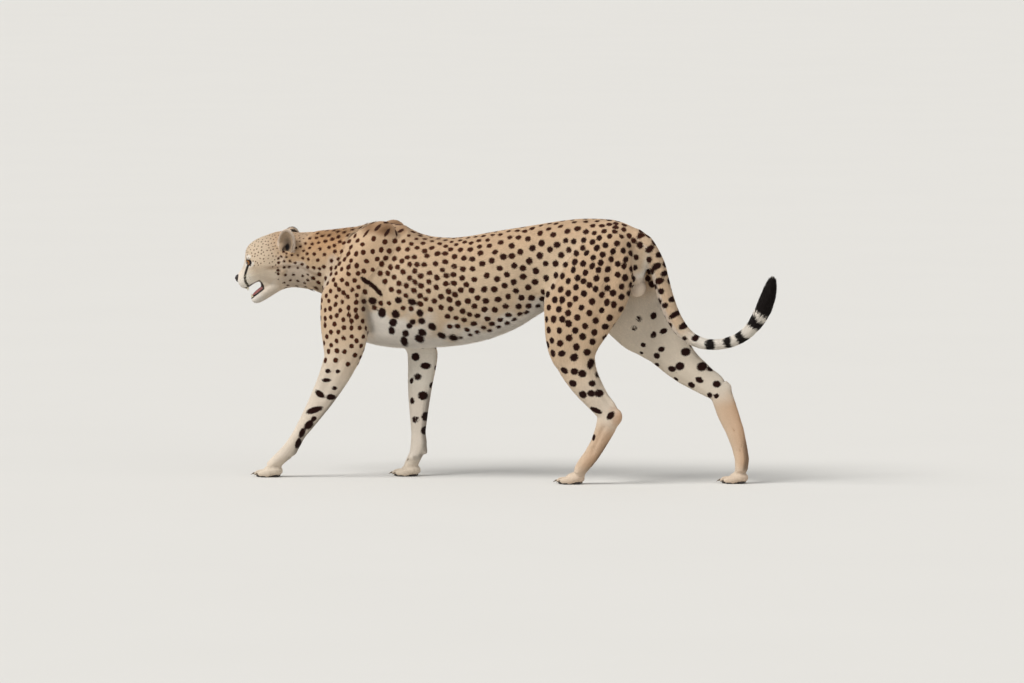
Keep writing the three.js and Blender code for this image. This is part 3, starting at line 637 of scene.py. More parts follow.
# Pale, warm and dark shares of the coat, and its spots, the same for skin and hair.
def paint(points, normals, where, spots):
    x, y, z = points.T
    part, run = where["part"], where["run"]
    level = trunkLevel(points)
    ripple = 0.05 * np.sin(x / 31 + z / 17) + 0.04 * np.sin(x / 13 - z / 23 + y / 19)
    pale = 0.12 + 0.88 * fade(level + ripple, 0.24, 0.04)
    patch = fade(x, -235, -185) * fade(x, 50, -60) * fade(level + ripple, 0.36, 0.2)
    pale = np.maximum(pale, patch * (part == partOf["trunk"]))
    warm = 0.24 * fade(level, 0.5, 1.0) + 0.1
    dark = np.zeros(len(points))
    chest = fade(-normals[:, 0], 0.25, 0.8) * fade(x, -250, -330) * fade(z, 720, 660)
    pale = np.maximum(pale, 0.5 * chest * (part != partOf["head"]))
    share = {name: where["share"][i] for i, name in enumerate(chains)}
    # the dark share on the throat is painted shade under the head
    throat = fade(z + 400 * ripple, 662, 640)
    neck = (0.55 * throat, 0.42 * fade(z, 640, 730) + 0.18, 0.24 * throat)
    pale, warm, dark = blendAll((pale, warm, dark), neck, share["neck"])
    for name, hand in legHands.items():
        leg = paintLeg(points, normals, run, name, hand)
        pale, warm, dark = blendAll((pale, warm, dark), leg, share[name])
    hump = fade(z, 728, 765) * fade(x, -270, -200) * fade(x, -70, -110) * (0.75 + 4 * ripple)
    warm = np.maximum(warm, 0.72 * hump)
    dark = np.maximum(dark, 0.56 * hump)
    # painted shade in the clefts between the toes
    for pawX, pawY, hand, *_ in paws:
        gap = np.min([np.abs(y - hand * pawY - c) for c in clefts], axis=0)
        between = fade(gap, 2.8, 0.8) * fade(pawX - x, 16, 30) * (pawX - x < 64) * (z < 34)
        dark = np.maximum(dark, 0.34 * between)
    # painted shade in the armpit, between the fore leg and the chest
    armpitShade = fade(distanceTo([(-218, 550), (-207, 505), (-203, 455)], x, z), 26, 4) * fade(np.abs(y), 40, 60)
    dark = np.maximum(dark, 0.5 * armpitShade * share["trunk"])
    tail = part == partOf["tail"]
    pale, warm, dark = blendAll((pale, warm, dark), paintTail(normals, run, where["angle"]), share["tail"])
    rear = fade(x, 585, 615) * fade(np.abs(y), 34, 18) * fade(z, 500, 545) * fade(z, 735, 700) * (~tail)
    pale = np.maximum(pale, 0.55 * rear * fade(normals[:, 0], -0.1, 0.35))
    warm = warm * (1 - 0.6 * rear)
    # painted shade down the middle crease of the rear, below the tail
    rearCreaseShade = fade(np.abs(y), 7, 2) * fade(z, 625, 640) * fade(z, 705, 685) * rear
    dark = np.maximum(dark, 0.5 * rearCreaseShade)
    purse = onPurse(points)
    pale[purse] = 0.6
    warm[purse] = 0.2

    local = planToHead(points)
    *face, mouth = paintFace(points, normals, local, ripple)
    pale, warm, dark = blendAll((pale, warm, dark), face, share["head"])
    # a painted shadow along the lower edge of the cheek, dark and brown
    cheek = fade(distanceTo(cheekShadowLine, x, z), 11, 2) * fade(np.abs(y), 25, 45) * fade(local[:, 0], 80, 125)
    dark = np.maximum(dark, 0.36 * cheek)
    warm = np.maximum(warm, 0.3 * cheek)
    pale, warm, dark = paintEars(local, normals, part == partOf["ear"], (pale, warm, dark))
    field, tone = spotField(points, normals, spots)
    field[spotless(points, where)] = fieldEnd
    tint = np.stack([pale, warm, dark], 1)
    return np.clip(tint, 0, 1), field, np.clip(tone, 0, 1), mouth * (part == partOf["head"])


# Forms of the muscles, on one side each: from x, z to x, z, side, half width, height.
forms = [
    (-175, 770, -290, 600, -1, 26, 4), (-255, 735, -345, 610, -1, 20, -5), (-120, 690, -185, 470, -1, 24, -6),
    (-222, 440, -226, 405, -1, 20, 6), (330, 705, 300, 600, -1, 40, -6), (350, 575, 410, 470, -1, 24, 5),
    (425, 790, 455, 770, -1, 30, 5), (575, 690, 520, 470, -1, 18, -5), (398, 430, 400, 395, -1, 26, 4),
    (524, 300, 566, 236, -1, 11, -6), (-285, 370, -350, 250, -1, 10, -3), (-437, 128, -455, 100, -1, 16, 3),
    (470, 470, 455, 400, -1, 22, -3), (540, 176, 505, 100, -1, 8, -3),
    (-170, 770, -230, 600, 1, 26, 4), (-235, 730, -320, 600, 1, 20, -5), (-95, 690, -110, 520, 1, 24, -6),
    (-90, 480, -66, 440, 1, 20, 5), (330, 705, 300, 600, 1, 40, -6), (380, 590, 470, 520, 1, 24, 5),
    (425, 790, 455, 770, 1, 30, 5), (640, 660, 660, 500, 1, 18, -5), (830, 340, 870, 305, 1, 11, -6),
    (-80, 360, -86, 250, 1, 10, -3), (-88, 130, -90, 100, 1, 16, 3), (892, 220, 920, 130, 1, 8, -3),
]
# The rounds of smoothing are run in this order, each on its own share of the skin.
skinWork = {
    "voxel": 0.0025, "rounds": {"body": 320, "limb": 18, "hock": 80, "head": 9, "tooth": 120, "fine": 3},
    "swell": 3.2, "triangles": 112000, "longest": 10.6, "splits": 2, "lowest": 0.8,
}
# How deep the coat is over each part, in mm.
coatDepth = {
    "head": 1.6, "neck": 3.0, "trunk": 3.2, "tail": 4.0, "foreLeft": 2.2, "foreRight": 2.2, "hindLeft": 2.5,
    "hindRight": 2.5, "ear": 0.5,
}
fleshNodes = [name for name in frame["nodes"] if not name.startswith("eye") and name != "nose"]


def pickOnly(obj):
    bpy.ops.object.select_all(action="DESELECT")
    obj.select_set(True)
    bpy.context.view_layer.objects.active = obj


def editAll(obj, work):  # one step in edit mode, on the whole mesh
    pickOnly(obj)
    bpy.ops.object.mode_set(mode="EDIT")
    bpy.ops.mesh.select_all(action="SELECT")
    work()
    bpy.ops.object.mode_set(mode="OBJECT")


def smoothOut(obj):
    editAll(obj, lambda: bpy.ops.mesh.normals_make_consistent(inside=False))
    bpy.ops.object.shade_smooth()


def addObject(name, data):
    made = bpy.data.objects.new(name, data)
    bpy.context.scene.collection.objects.link(made)
    return made


def joinAll(pieces, name):
    bpy.ops.object.select_all(action="DESELECT")
    for piece in pieces:
        piece.select_set(True)
    bpy.context.view_layer.objects.active = pieces[-1]
    if len(pieces) > 1:
        bpy.ops.object.join()
    pieces[-1].name = name
    return pieces[-1]


def copyNodes(names, called):
    piece = joinAll([addObject(called, frame["nodes"][name].data.copy()) for name in names], called)
    piece.data.materials.clear()
    editAll(piece, lambda: bpy.ops.mesh.remove_doubles(threshold=0.00002))
    return piece


def applyModifier(obj, kind, settings):
    pickOnly(obj)
    modifier = obj.modifiers.new(kind.lower(), kind)
    for key, value in settings.items():
        setattr(modifier, key, value)
    bpy.ops.object.modifier_apply(modifier=modifier.name)


def fillOut(obj, size):
    applyModifier(obj, "REMESH", {"mode": "VOXEL", "voxel_size": size, "use_smooth_shade": True})


def readMesh(obj):
    count = len(obj.data.vertices)
    places = np.empty(count * 3)
    normals = np.empty(count * 3)
    obj.data.vertices.foreach_get("co", places)
    obj.data.vertices.foreach_get("normal", normals)
    return toPlan(places.reshape(-1, 3)), normals.reshape(-1, 3)


def cornersOf(obj):
    return np.array([v.co[:] for v in obj.data.vertices])


def setCorners(obj, places):
    obj.data.vertices.foreach_set("co", places.ravel())
    obj.data.update()


def writeMesh(obj, points):
    setCorners(obj, toFrame(points))


def addBall(segments, rings, radius=1):
    bpy.ops.mesh.primitive_uv_sphere_add(
        segments=segments, ring_count=rings, radius=radius, location=(0, 0, 0)
    )
    return bpy.context.active_object


def weighGroup(obj, name, weights):
    group = obj.vertex_groups.new(name=name)
    steps = np.round(np.clip(weights, 0, 1) * 10).astype(int)
    for step in range(1, 11):
        group.add(np.nonzero(steps == step)[0].tolist(), step / 10, "REPLACE")


def addAttribute(obj, name, values, kind="FLOAT_COLOR"):
    attribute = obj.data.attributes.new(name, kind, "POINT")
    if kind == "FLOAT_COLOR":
        four = np.ones((len(values), 4), np.float32)
        four[:, :3] = values
        attribute.data.foreach_set("color", four.ravel())
    elif kind == "FLOAT_VECTOR":
        attribute.data.foreach_set("vector", np.asarray(values, np.float32).ravel())
    else:
        attribute.data.foreach_set("value", np.asarray(values, np.float32))


cheekFold = {"at": (87, 0, -52), "size": (30, 33, 20)}  # the skin that spans the corner of the mouth
canineBumps = [((17, 16, -52), "head"), ((13, 11, -34), "jaw")]
# Where the limbs turn into joints and feet: the place and how far the rounding reaches.
jointPlaces = [
    ((584, -77, 208), 62), ((886, 77, 290), 62), ((-437, -70, 110), 62), ((-66, 70, 110), 62),
    ((525, -77, 150), 62), ((904, 76, 220), 62), ((-500, -69, 60), 36), ((-106, 69, 60), 36),
    ((464, -75, 54), 36), ((926, 75, 54), 36),
]
# Small swellings and hollows at the joints, seen from behind: place, width and height.
tendons = [
    ((570, -77, 244), 20, 7), ((860, 77, 328), 20, 8), ((867, 77, 316), 9, 5), ((886, 77, 312), 10, -5),
    ((-74, 69, 106), 14, 4), ((-54, 69, 80), 13, -4),
]


def addFold(skin):
    fold = addBall(32, 20)
    writeMesh(fold, headToPlan(cornersOf(fold) * cheekFold["size"] + cheekFold["at"]))
    return joinAll([fold, skin], "skin")


def pickNothing(obj, kind):  # so that parts of the mesh can be picked one by one
    pickOnly(obj)
    bpy.ops.object.mode_set(mode="EDIT")
    bpy.ops.mesh.select_mode(type=kind)
    bpy.ops.mesh.select_all(action="DESELECT")
    bpy.ops.object.mode_set(mode="OBJECT")


def dropCrumbs(obj):  # keeps what hangs together with the highest vertex
    pickNothing(obj, "VERT")
    obj.data.vertices[int(readMesh(obj)[0][:, 2].argmax())].select = True
    bpy.ops.object.mode_set(mode="EDIT")
    bpy.ops.mesh.select_linked()
    bpy.ops.mesh.select_all(action="INVERT")
    bpy.ops.mesh.delete(type="VERT")
    bpy.ops.object.mode_set(mode="OBJECT")


def splitLong(obj, limit, rounds):  # so that no spot falls between the corners of a face
    for _ in range(rounds):
        places = readMesh(obj)[0]
        ends = np.empty(len(obj.data.edges) * 2, np.int32)
        obj.data.edges.foreach_get("vertices", ends)
        a, b = places[ends[::2]], places[ends[1::2]]
        pickNothing(obj, "EDGE")
        obj.data.edges.foreach_set("select", np.linalg.norm(a - b, axis=1) > limit)
        bpy.ops.object.mode_set(mode="EDIT")
        bpy.ops.mesh.subdivide(number_cuts=1)
        bpy.ops.mesh.select_all(action="SELECT")
        bpy.ops.mesh.quads_convert_to_tris()
        bpy.ops.object.mode_set(mode="OBJECT")


# How much each round of smoothing takes of each place.
def weighSkin(skin, points, part):
    local = planToHead(points)
    isHead = (part == partOf["head"]) | (part == partOf["ear"])
    legs = onLegs(part)
    paw = fade(points[:, 2], 92, 48) * legs
    body = np.isin(part, (partOf["neck"], partOf["trunk"])).astype(float)
    body = np.maximum(body, fade(local[:, 0], 138, 178) * (part == partOf["head"]))
    broad = np.maximum(body, fade(points[:, 2], 380, 480) * legs)
    nearHock = [fade(np.linalg.norm(points - at, axis=1), reach, reach * 0.55) for at, reach in jointPlaces]
    nearEye = np.zeros(len(points))
    for hand in hands.values():
        at, _ = eyeFrame(hand)
        nearEye = np.maximum(nearEye, fade(np.linalg.norm(local - at, axis=1), 26, 19))
    lipsNear = fade(local[:, 2], -18, -30) * fade(local[:, 0], 84, 60)
    nearTooth = np.zeros(len(points))
    for (toothX, toothY, toothZ), bone in canineBumps:
        place = local if bone == "head" else headToJaw(local)
        off = np.hypot(place[:, 0] - toothX, np.abs(place[:, 1]) - toothY)
        nearTooth = np.maximum(nearTooth, fade(off, 9, 6) * (np.abs(place[:, 2] - toothZ) < 16))
    weighGroup(skin, "body", broad)
    weighGroup(skin, "hock", np.max(nearHock, axis=0))
    weighGroup(skin, "limb", np.where(isHead, 0, 1 - 0.8 * paw))
    weighGroup(skin, "head", isHead * (1 - 0.75 * nearEye) * (1 - 0.6 * lipsNear) * (part != partOf["ear"]))
    weighGroup(skin, "tooth", nearTooth)
    weighGroup(skin, "fine", np.maximum(isHead, paw))
    weighGroup(skin, "loose", np.where(isHead | (paw > 0.5), 0.0, 1.0))
    return paw, broad


# How far each place moves out: muscles, tendons and toes, less the depth of the coat.
def liftOf(points, normals, part, paw, broad):
    x, y, z = points.T
    lift = skinWork["swell"] * broad  # what the long smoothing has taken off
    for x0, z0, x1, z1, side, wide, height in forms:
        away = distanceTo([(x0, z0), (x1, z1)], x, z)
        facing = fade(normals[:, 1] * side, 0.1, 0.6) * fade(y * side, 15, 30)
        lift += height * np.exp(-((away / wide) ** 2)) * facing
    for at, wide, height in tendons:
        away = np.linalg.norm(points - at, axis=1)
        lift += height * np.exp(-((away / wide) ** 2)) * fade(normals[:, 0], 0, 0.5)
    for pawX, pawY, hand, *_ in paws:
        ahead, side = pawX - x, y - hand * pawY
        gap = np.min([np.abs(side - c) for c in clefts], axis=0)
        cleft = 3 * np.exp(-((gap / 2) ** 2)) * fade(ahead, 14, 28)
        lift -= cleft * (ahead < 70) * (np.abs(side) < 24) * (z < 40)
    hx, hy, hz = planToHead(points).T
    groove = np.exp(-((hy / 1.8) ** 2)) * fade(hx, 34, 22) * fade(hz, -8, -14) * (part == partOf["head"])
    pads = np.exp(-(((hx - 16) / 14) ** 2) - ((np.abs(hy) - 14) / 9) ** 2 - ((hz + 22) / 11) ** 2)
    lift += 2.2 * pads - 2.4 * groove
    lift += 15 * np.exp(-((y / 30) ** 2)) * fade(z, 735, 750) * fade(x, -270, -215) * fade(x, -70, -120)
    deep = blend(np.array([coatDepth[name] for name in partNames])[part], 1.2, paw)
    shrunk = fade(z, 30, 90) * onLegs(part) * 1.2  # what smoothing has already taken off a slim limb
    return lift - deep + shrunk


def roundPurse(points):
    purse = (points - purseForm["at"]) / purseForm["size"]
    far = np.linalg.norm(purse, axis=1)[:, None]
    dent = 1 - 0.08 * np.exp(-((points[:, 1] / 4) ** 2))[:, None]
    ball = purse / np.maximum(far, 0.01) * purseForm["size"] * dent + purseForm["at"]
    return blend(points, ball, fade(far, 1.45, 1.2) * fade(points[:, 2], 624, 606)[:, None])


def drawBack(points, part):  # the skin draws back behind the nose and behind each eye
    local = planToHead(points)
    off = np.hypot(local[:, 1] / 12, (local[:, 2] - 1) / 14)
    behindNose = fade(off, 1.05, 0.8) * fade(local[:, 0], 14, 8)
    local[:, 0] += 4.5 * behindNose * (part == partOf["head"])
    for hand in hands.values():
        at, turn = eyeFrame(hand)
        eye, around = eyeView(local, hand, 2.5, 3)
        size = np.linalg.norm(eye, axis=1)
        inside = (eye[:, 0] > 0) & (around < 1.0) & (size < 26)
        pull = np.where(inside, np.minimum(size, eyePlace["radius"] - 2.5) / np.maximum(size, 1), 1)
        local = at + (eye * pull[:, None]) @ turn.T
    return headToPlan(local)


def makeSkin():
    skin = addFold(copyNodes(fleshNodes, "skin"))
    fillOut(skin, skinWork["voxel"])
    print("skin joined", len(skin.data.vertices))
    dropCrumbs(skin)
    points, normals = readMesh(skin)
    part = survey(points, normals)["part"]
    paw, broad = weighSkin(skin, points, part)
    for group, times in skinWork["rounds"].items():
        applyModifier(skin, "SMOOTH", {"factor": 0.5, "iterations": times, "vertex_group": group})
    print("skin smoothed", len(points))
    points, normals = readMesh(skin)
    points = points + normals * liftOf(points, normals, part, paw, broad)[:, None]
    points[:, 2] = np.maximum(points[:, 2], skinWork["lowest"])
    writeMesh(skin, drawBack(roundPurse(points), part))
    faces = sum(len(p.vertices) - 2 for p in skin.data.polygons)
    ratio = min(1.0, skinWork["triangles"] / faces)
    applyModifier(skin, "DECIMATE", {"ratio": ratio, "vertex_group": "loose", "vertex_group_factor": 1.0})
    skin.vertex_groups.clear()
    print("skin thinned", len(skin.data.polygons))
    splitLong(skin, skinWork["longest"], skinWork["splits"])
    smoothOut(skin)
    print("skin made", len(skin.data.polygons), "triangles")
    return skin


# Shader maths: a socket that can be reckoned with.
class Value:
    def __init__(self, shop, socket):
        self.shop = shop
        self.socket = socket

    def reckon(self, how, *values):
        return self.shop.node("ShaderNodeMath", {"operation": how}, values)

    def __add__(self, other):
        return self.reckon("ADD", self, other)

    def __sub__(self, other):
        return self.reckon("SUBTRACT", self, other)

    def __mul__(self, other):
        return self.reckon("MULTIPLY", self, other)


# A material and what makes its nodes.
class Shop:
    def __init__(self, name):
        self.material = bpy.data.materials.new(name)
        self.material.use_nodes = True
        self.tree = self.material.node_tree
        self.tree.nodes.clear()

    def node(self, kind, settings=None, inputs=(), output=0):
        made = self.tree.nodes.new(kind)
        for key, value in (settings or {}).items():
            setattr(made, key, value)
        pairs = inputs.items() if isinstance(inputs, dict) else enumerate(inputs)
        for key, value in pairs:
            if isinstance(value, Value):
                self.tree.links.new(value.socket, made.inputs[key])
            elif value is not None:
                made.inputs[key].default_value = value
        if isinstance(output, tuple):
            return [Value(self, made.outputs[o]) for o in output]
        return Value(self, made.outputs[output]) if made.outputs else None

    def mix(self, share, a, b):
        a, b = [(*c, 1) if isinstance(c, tuple) and len(c) == 3 else c for c in (a, b)]
        return self.node("ShaderNodeMix", {"data_type": "RGBA"}, {0: share, 6: a, 7: b}, 2)

    def scaled(self, colour, value):  # a colour made lighter or darker
        return self.node("ShaderNodeVectorMath", {"operation": "SCALE"}, {0: colour, "Scale": value}, 0)

    def split(self, attribute):
        colour = self.node("ShaderNodeAttribute", {"attribute_name": attribute}, (), "Color")
        return self.node("ShaderNodeSeparateColor", {}, [colour], (0, 1, 2))

    def step(self, value, start, end, low=0.0, high=1.0):
        inputs = {"Value": value, "From Min": start, "From Max": end, "To Min": low, "To Max": high}
        return self.node("ShaderNodeMapRange", {"interpolation_type": "SMOOTHSTEP"}, inputs)

    def place(self):
        return self.node("ShaderNodeTexCoord", {}, (), "Object")

    def noise(self, where, scale, detail=2.0, rough=0.5):
        inputs = {"Vector": where, "Scale": scale, "Detail": detail, "Roughness": rough}
        return self.node("ShaderNodeTexNoise", {}, inputs)

    def cells(self, where, scale):
        return self.node("ShaderNodeTexVoronoi", {}, {"Vector": where, "Scale": scale}, "Distance")

    def bump(self, height, strength, distance):
        return self.node("ShaderNodeBump", {}, {"Strength": strength, "Distance": distance, "Height": height})

    def finish(self, sockets):
        shader = self.node("ShaderNodeBsdfPrincipled", {}, sockets)
        self.node("ShaderNodeOutputMaterial", {}, [shader])
        return self.material


def ink(*screen):  # a colour as the screen counts it, 0 to 255
    return tuple(((c / 255 + 0.055) / 1.055) ** 2.4 if c > 10 else c / 255 / 12.92 for c in screen)


coatColours = {
    "tan": ink(203, 179, 147),
    "pale": ink(229, 223, 212),
    "warm": ink(184, 124, 70),
    "brown": ink(72, 33, 15),
    # near black: the coat's own dark markings, and painted shade
    "black": ink(34, 11, 6),
    "darkMarkAndShade": ink(26, 21, 19),
    "gum": ink(96, 42, 40),
}


# The scales of three noises, and between which values a spot and a dark place fade into the coat.
coatLook = {"blur": 260.0, "patch": 16.0, "fine": 900.0, "spotEdge": (0.78, 1.14), "darkEdge": (0.04, 0.92)}


def coatMaterial(name, hairy):
    shop = Shop(name)
    pale, warm, dark = shop.split("tint")
    field, tone, shade = shop.split("mark")
    place = shop.place()
    blur = shop.noise(place, coatLook["blur"], 2.0)
    patch = shop.noise(place, coatLook["patch"], 3.0)
    fine = shop.noise(place, coatLook["fine"], 2.0)
    base = shop.mix(pale, coatColours["tan"], coatColours["pale"])
    base = shop.mix(warm, base, coatColours["warm"])
    base = shop.scaled(base, patch * 0.22 + 0.86)
    edge = field * fieldEnd + (blur - 0.5) * 0.5
    spot = shop.step(edge, *coatLook["spotEdge"], 1.0, 0.0)
    spotColour = shop.mix(tone, coatColours["brown"], coatColours["black"])
    colour = shop.mix(spot, base, spotColour)
    # the dark share holds the coat's own dark markings and painted shade: in the armpit, down the rear
    # crease, between the toes, along the cheek, under the throat, in the ear's hollow and behind the lower
    # fore legs
    darkMask = shop.step(dark + (blur - 0.5) * 0.12, *coatLook["darkEdge"])
    colour = shop.mix(darkMask, colour, coatColours["darkMarkAndShade"])
    if not hairy:
        mouth = shop.node("ShaderNodeAttribute", {"attribute_name": "mouth"}, (), "Fac")
        wet = shop.mix(fine, coatColours["gum"], coatColours["darkMarkAndShade"])
        colour = shop.mix(mouth, colour, wet)
    colour = shop.scaled(colour, shade * (fine * 0.16 + 0.92) * 1.1)
    sockets = {"Base Color": colour, "Roughness": 0.8, "Sheen Weight": 0.03, "Sheen Roughness": 0.5}
    sockets["Specular IOR Level"] = 0.1
    if not hairy:
        sockets["Roughness"] = mouth * -0.5 + 0.8
        grain = shop.node("ShaderNodeAttribute", {"attribute_name": "grain"}, (), "Vector")
        stretched = {0: grain, 1: (0.06, 0.8, 1.0)}
        strands = shop.node("ShaderNodeVectorMath", {"operation": "MULTIPLY"}, stretched)
        height = shop.noise(strands, 1.0, 3.0, 0.6)
        sockets["Normal"] = shop.bump(height, 0.5, 0.0016)
    return shop.finish(sockets)


def dressSkin(skin, spots):
    points, normals = readMesh(skin)
    where = survey(points, normals)
    tint, field, tone, mouth = paint(points, normals, where, spots)
    addAttribute(skin, "tint", tint)
    # the skin is painted darker than the hair, as painted shade between the hairs
    addAttribute(skin, "mark", np.stack([field / fieldEnd, tone, np.full(len(points), 0.86)], 1))
    addAttribute(skin, "mouth", mouth, "FLOAT")
    grain = np.stack([where["run"], where["angle"] * where["radius"], 40.0 * where["part"]], 1)
    addAttribute(skin, "grain", grain, "FLOAT_VECTOR")
    skin.data.materials.append(coatMaterial("skinShort", False))
    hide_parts(*fleshNodes)
    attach(skin, "root")


def meshTriangles(obj):
    obj.data.calc_loop_triangles()
    corners = np.empty(len(obj.data.loop_triangles) * 3, np.int32)
    obj.data.loop_triangles.foreach_get("vertices", corners)
    return corners.reshape(-1, 3)


# Roots spread evenly over the skin, as many as the density in each place asks.
def sowRoots(points, normals, triangles, density, count, draw):
    a, b, c = (points[triangles[:, i]] for i in range(3))
    area = np.linalg.norm(np.cross(b - a, c - a), axis=1) / 2
    share = np.cumsum(area * density[triangles].mean(1))
    goals = (np.arange(count) + draw.uniform(size=count)) / count * share[-1]
    chosen = np.minimum(np.searchsorted(share, goals), len(triangles) - 1)
    u, v = draw.uniform(size=(2, count))
    fold = u + v > 1
    u[fold], v[fold] = 1 - u[fold], 1 - v[fold]
    weights = np.stack([1 - u - v, u, v], 1)
    corners = triangles[chosen]
    places = (points[corners] * weights[:, :, None]).sum(1)
    ups = unit((normals[corners] * weights[:, :, None]).sum(1))
    return places, ups


# What hair grows where: length and half width in mm, and its lift from the skin in degrees.
coatPlan = {
    "head": (6.5, 0.7, 10), "ear": (6.0, 0.6, 20), "neck": (13, 1.05, 11), "trunk": (13, 1.15, 9),
    "tail": (14, 1.0, 15), "foreLeft": (10, 1.05, 9), "foreRight": (10, 1.05, 9), "hindLeft": (11, 1.1, 9),
    "hindRight": (11, 1.1, 9),
}


def hairShape(points, normals, where):
    part, run = where["part"], where["run"]
    x, y, z = points.T
    table = np.array([coatPlan[name] for name in partNames], float)[part]
    length, width, lift = table.T.copy()
    density = np.ones(len(points))
    local = planToHead(points)
    hx, hy, hz = local.T
    trunk = part == partOf["trunk"]
    mantle = fade(trunkLevel(points), 0.9, 1.0) * trunk * fade(x, 60, -150)
    mantle += (part == partOf["neck"]) * fade(z, 725, 750)
    belly = fade(-normals[:, 2], 0.35, 0.9) * trunk * fade(x, 590, 530)
    legs = onLegs(part)
    rear = fade(normals[:, 0], 0.3, 0.9) * legs * fade(z, 180, 420)
    for mask, longer, higher in ((mantle, 9, 9), (belly, 10, 12), (rear, 7, 7)):
        length += longer * mask
        lift += higher * mask
    length -= 3 * fade(z, 330, 420) * legs * (x < 50)  # small spots stay round under short hair
    length -= 3 * legs * fade(-normals[:, 1] * np.sign(y), 0.1, 0.6)
    low = fade(run, 470, 620) * legs
    length *= 1 - 0.3 * low
    width *= 1 - 0.2 * low
    density *= 1 + 0.35 * low
    foot = legs * fade(z, 100, 45)
    length = blend(length, 5.0, foot)
    width = blend(width, 0.8, foot)
    lift = blend(lift, 13, foot)
    density = blend(density, 1.6, foot)
    density[legs & (z < 5)] = 0
    length[inEllipsoid(points, (*purseForm["at"], *purseForm["coat"])) < 1.1] = 5
    head = part == partOf["head"]
    length *= np.where(head, np.interp(hx, (0, 50, 110, 200), (0.5, 0.8, 1.1, 1.7)), 1)
    cheek = head * fade(hx, 95, 150) * fade(hz, 0, -50)
    chin = head * fade(hz, -50, -75) * fade(hx, 120, 20)
    tip = (part == partOf["tail"]) * fade(run, 470, 620)
    for mask, longer, higher in ((cheek, 7, 9), (chin, 3, 8), (tip, 13, 8)):
        length += longer * mask
        lift += higher * mask
    for hand in hands.values():
        _, rimShare, inside = earView(local, normals, hand)
        inner = (part == partOf["ear"]) & (hy * hand > 0) & inside
        rimInner = fade(rimShare, 0.45, 0.9)
        length = np.where(inner, 5 + 7 * rimInner, length)
        lift = np.where(inner, 16 + 14 * rimInner, lift)
        eye, around = eyeView(local, hand)
        density[(eye[:, 0] > 0) & (around < 1.35) & head] = 0
        rimZone = (eye[:, 0] > 0) & (around < 2.2) & head
        length[rimZone] = 3.2
        width[rimZone] = 0.5
    jawLocal = headToJaw(local)
    for name, place in (("upper", local), ("lower", jawLocal)):
        _, height, _, wide = lips[name]
        off = np.hypot((lipRing(name, place) - 1) * wide, place[:, 2] - height)
        near = fade(off, 12, 5) * head * (place[:, 0] < 90)
        length = blend(length, 2.4, near)
        width = blend(width, 0.45, near)
        lift = blend(lift, 5, near)
    for shape, place in (("palate", local), ("trough", jawLocal)):
        density[(inEllipsoid(place, mouthForms[shape]) < 1.3) & (hx < 92) & head] = 0
    density[head & (hx < 19) & (np.hypot(hy / 18, hz / 17) < 1)] = 0
    width[head & (hx < 45)] = 0.55
    return length, width, lift, density


# The shares of a tuft's length between which its spots are read, closer together on long hair.
def spotEnds(length, part):
    half = np.minimum(0.4, np.where(part == partOf["head"], 1.5, 3.4) / length)[:, None]
    return 0.6 - half, 0.6 + half


def fillMesh(name, corners, faces, shading):  # a mesh of triangles with its own shading normals
    mesh = bpy.data.meshes.new(name)
    mesh.vertices.add(len(corners))
    mesh.vertices.foreach_set("co", toFrame(corners).ravel())
    mesh.loops.add(faces.size)
    mesh.loops.foreach_set("vertex_index", faces.ravel().astype(np.int32))
    mesh.polygons.add(len(faces))
    mesh.polygons.foreach_set("loop_start", np.arange(0, faces.size, 3, dtype=np.int32))
    mesh.polygons.foreach_set("loop_total", np.full(len(faces), 3, np.int32))
    mesh.polygons.foreach_set("use_smooth", np.ones(len(faces), bool))
    mesh.update()
    mesh.normals_split_custom_set_from_vertices(shading)
    return mesh


# The spread of sizes, swing to the side, depth of the root in mm, height of the tip for its lift, bow and
# taper, where the ridge starts up the blade, lean of the shading, and brightness: darker at the root, as
# painted shade between the hairs, lighter up the blade, and by chance.
tuftShape = {
    "spread": (0.8, 1.2), "swing": 0.14, "root": 0.7, "tip": 0.62, "bow": 0.5, "taper": 0.45, "ridge": 0.12,
    "lean": 0.35, "glow": 0.88, "glowUp": 0.14, "glowSpread": 0.05,
}


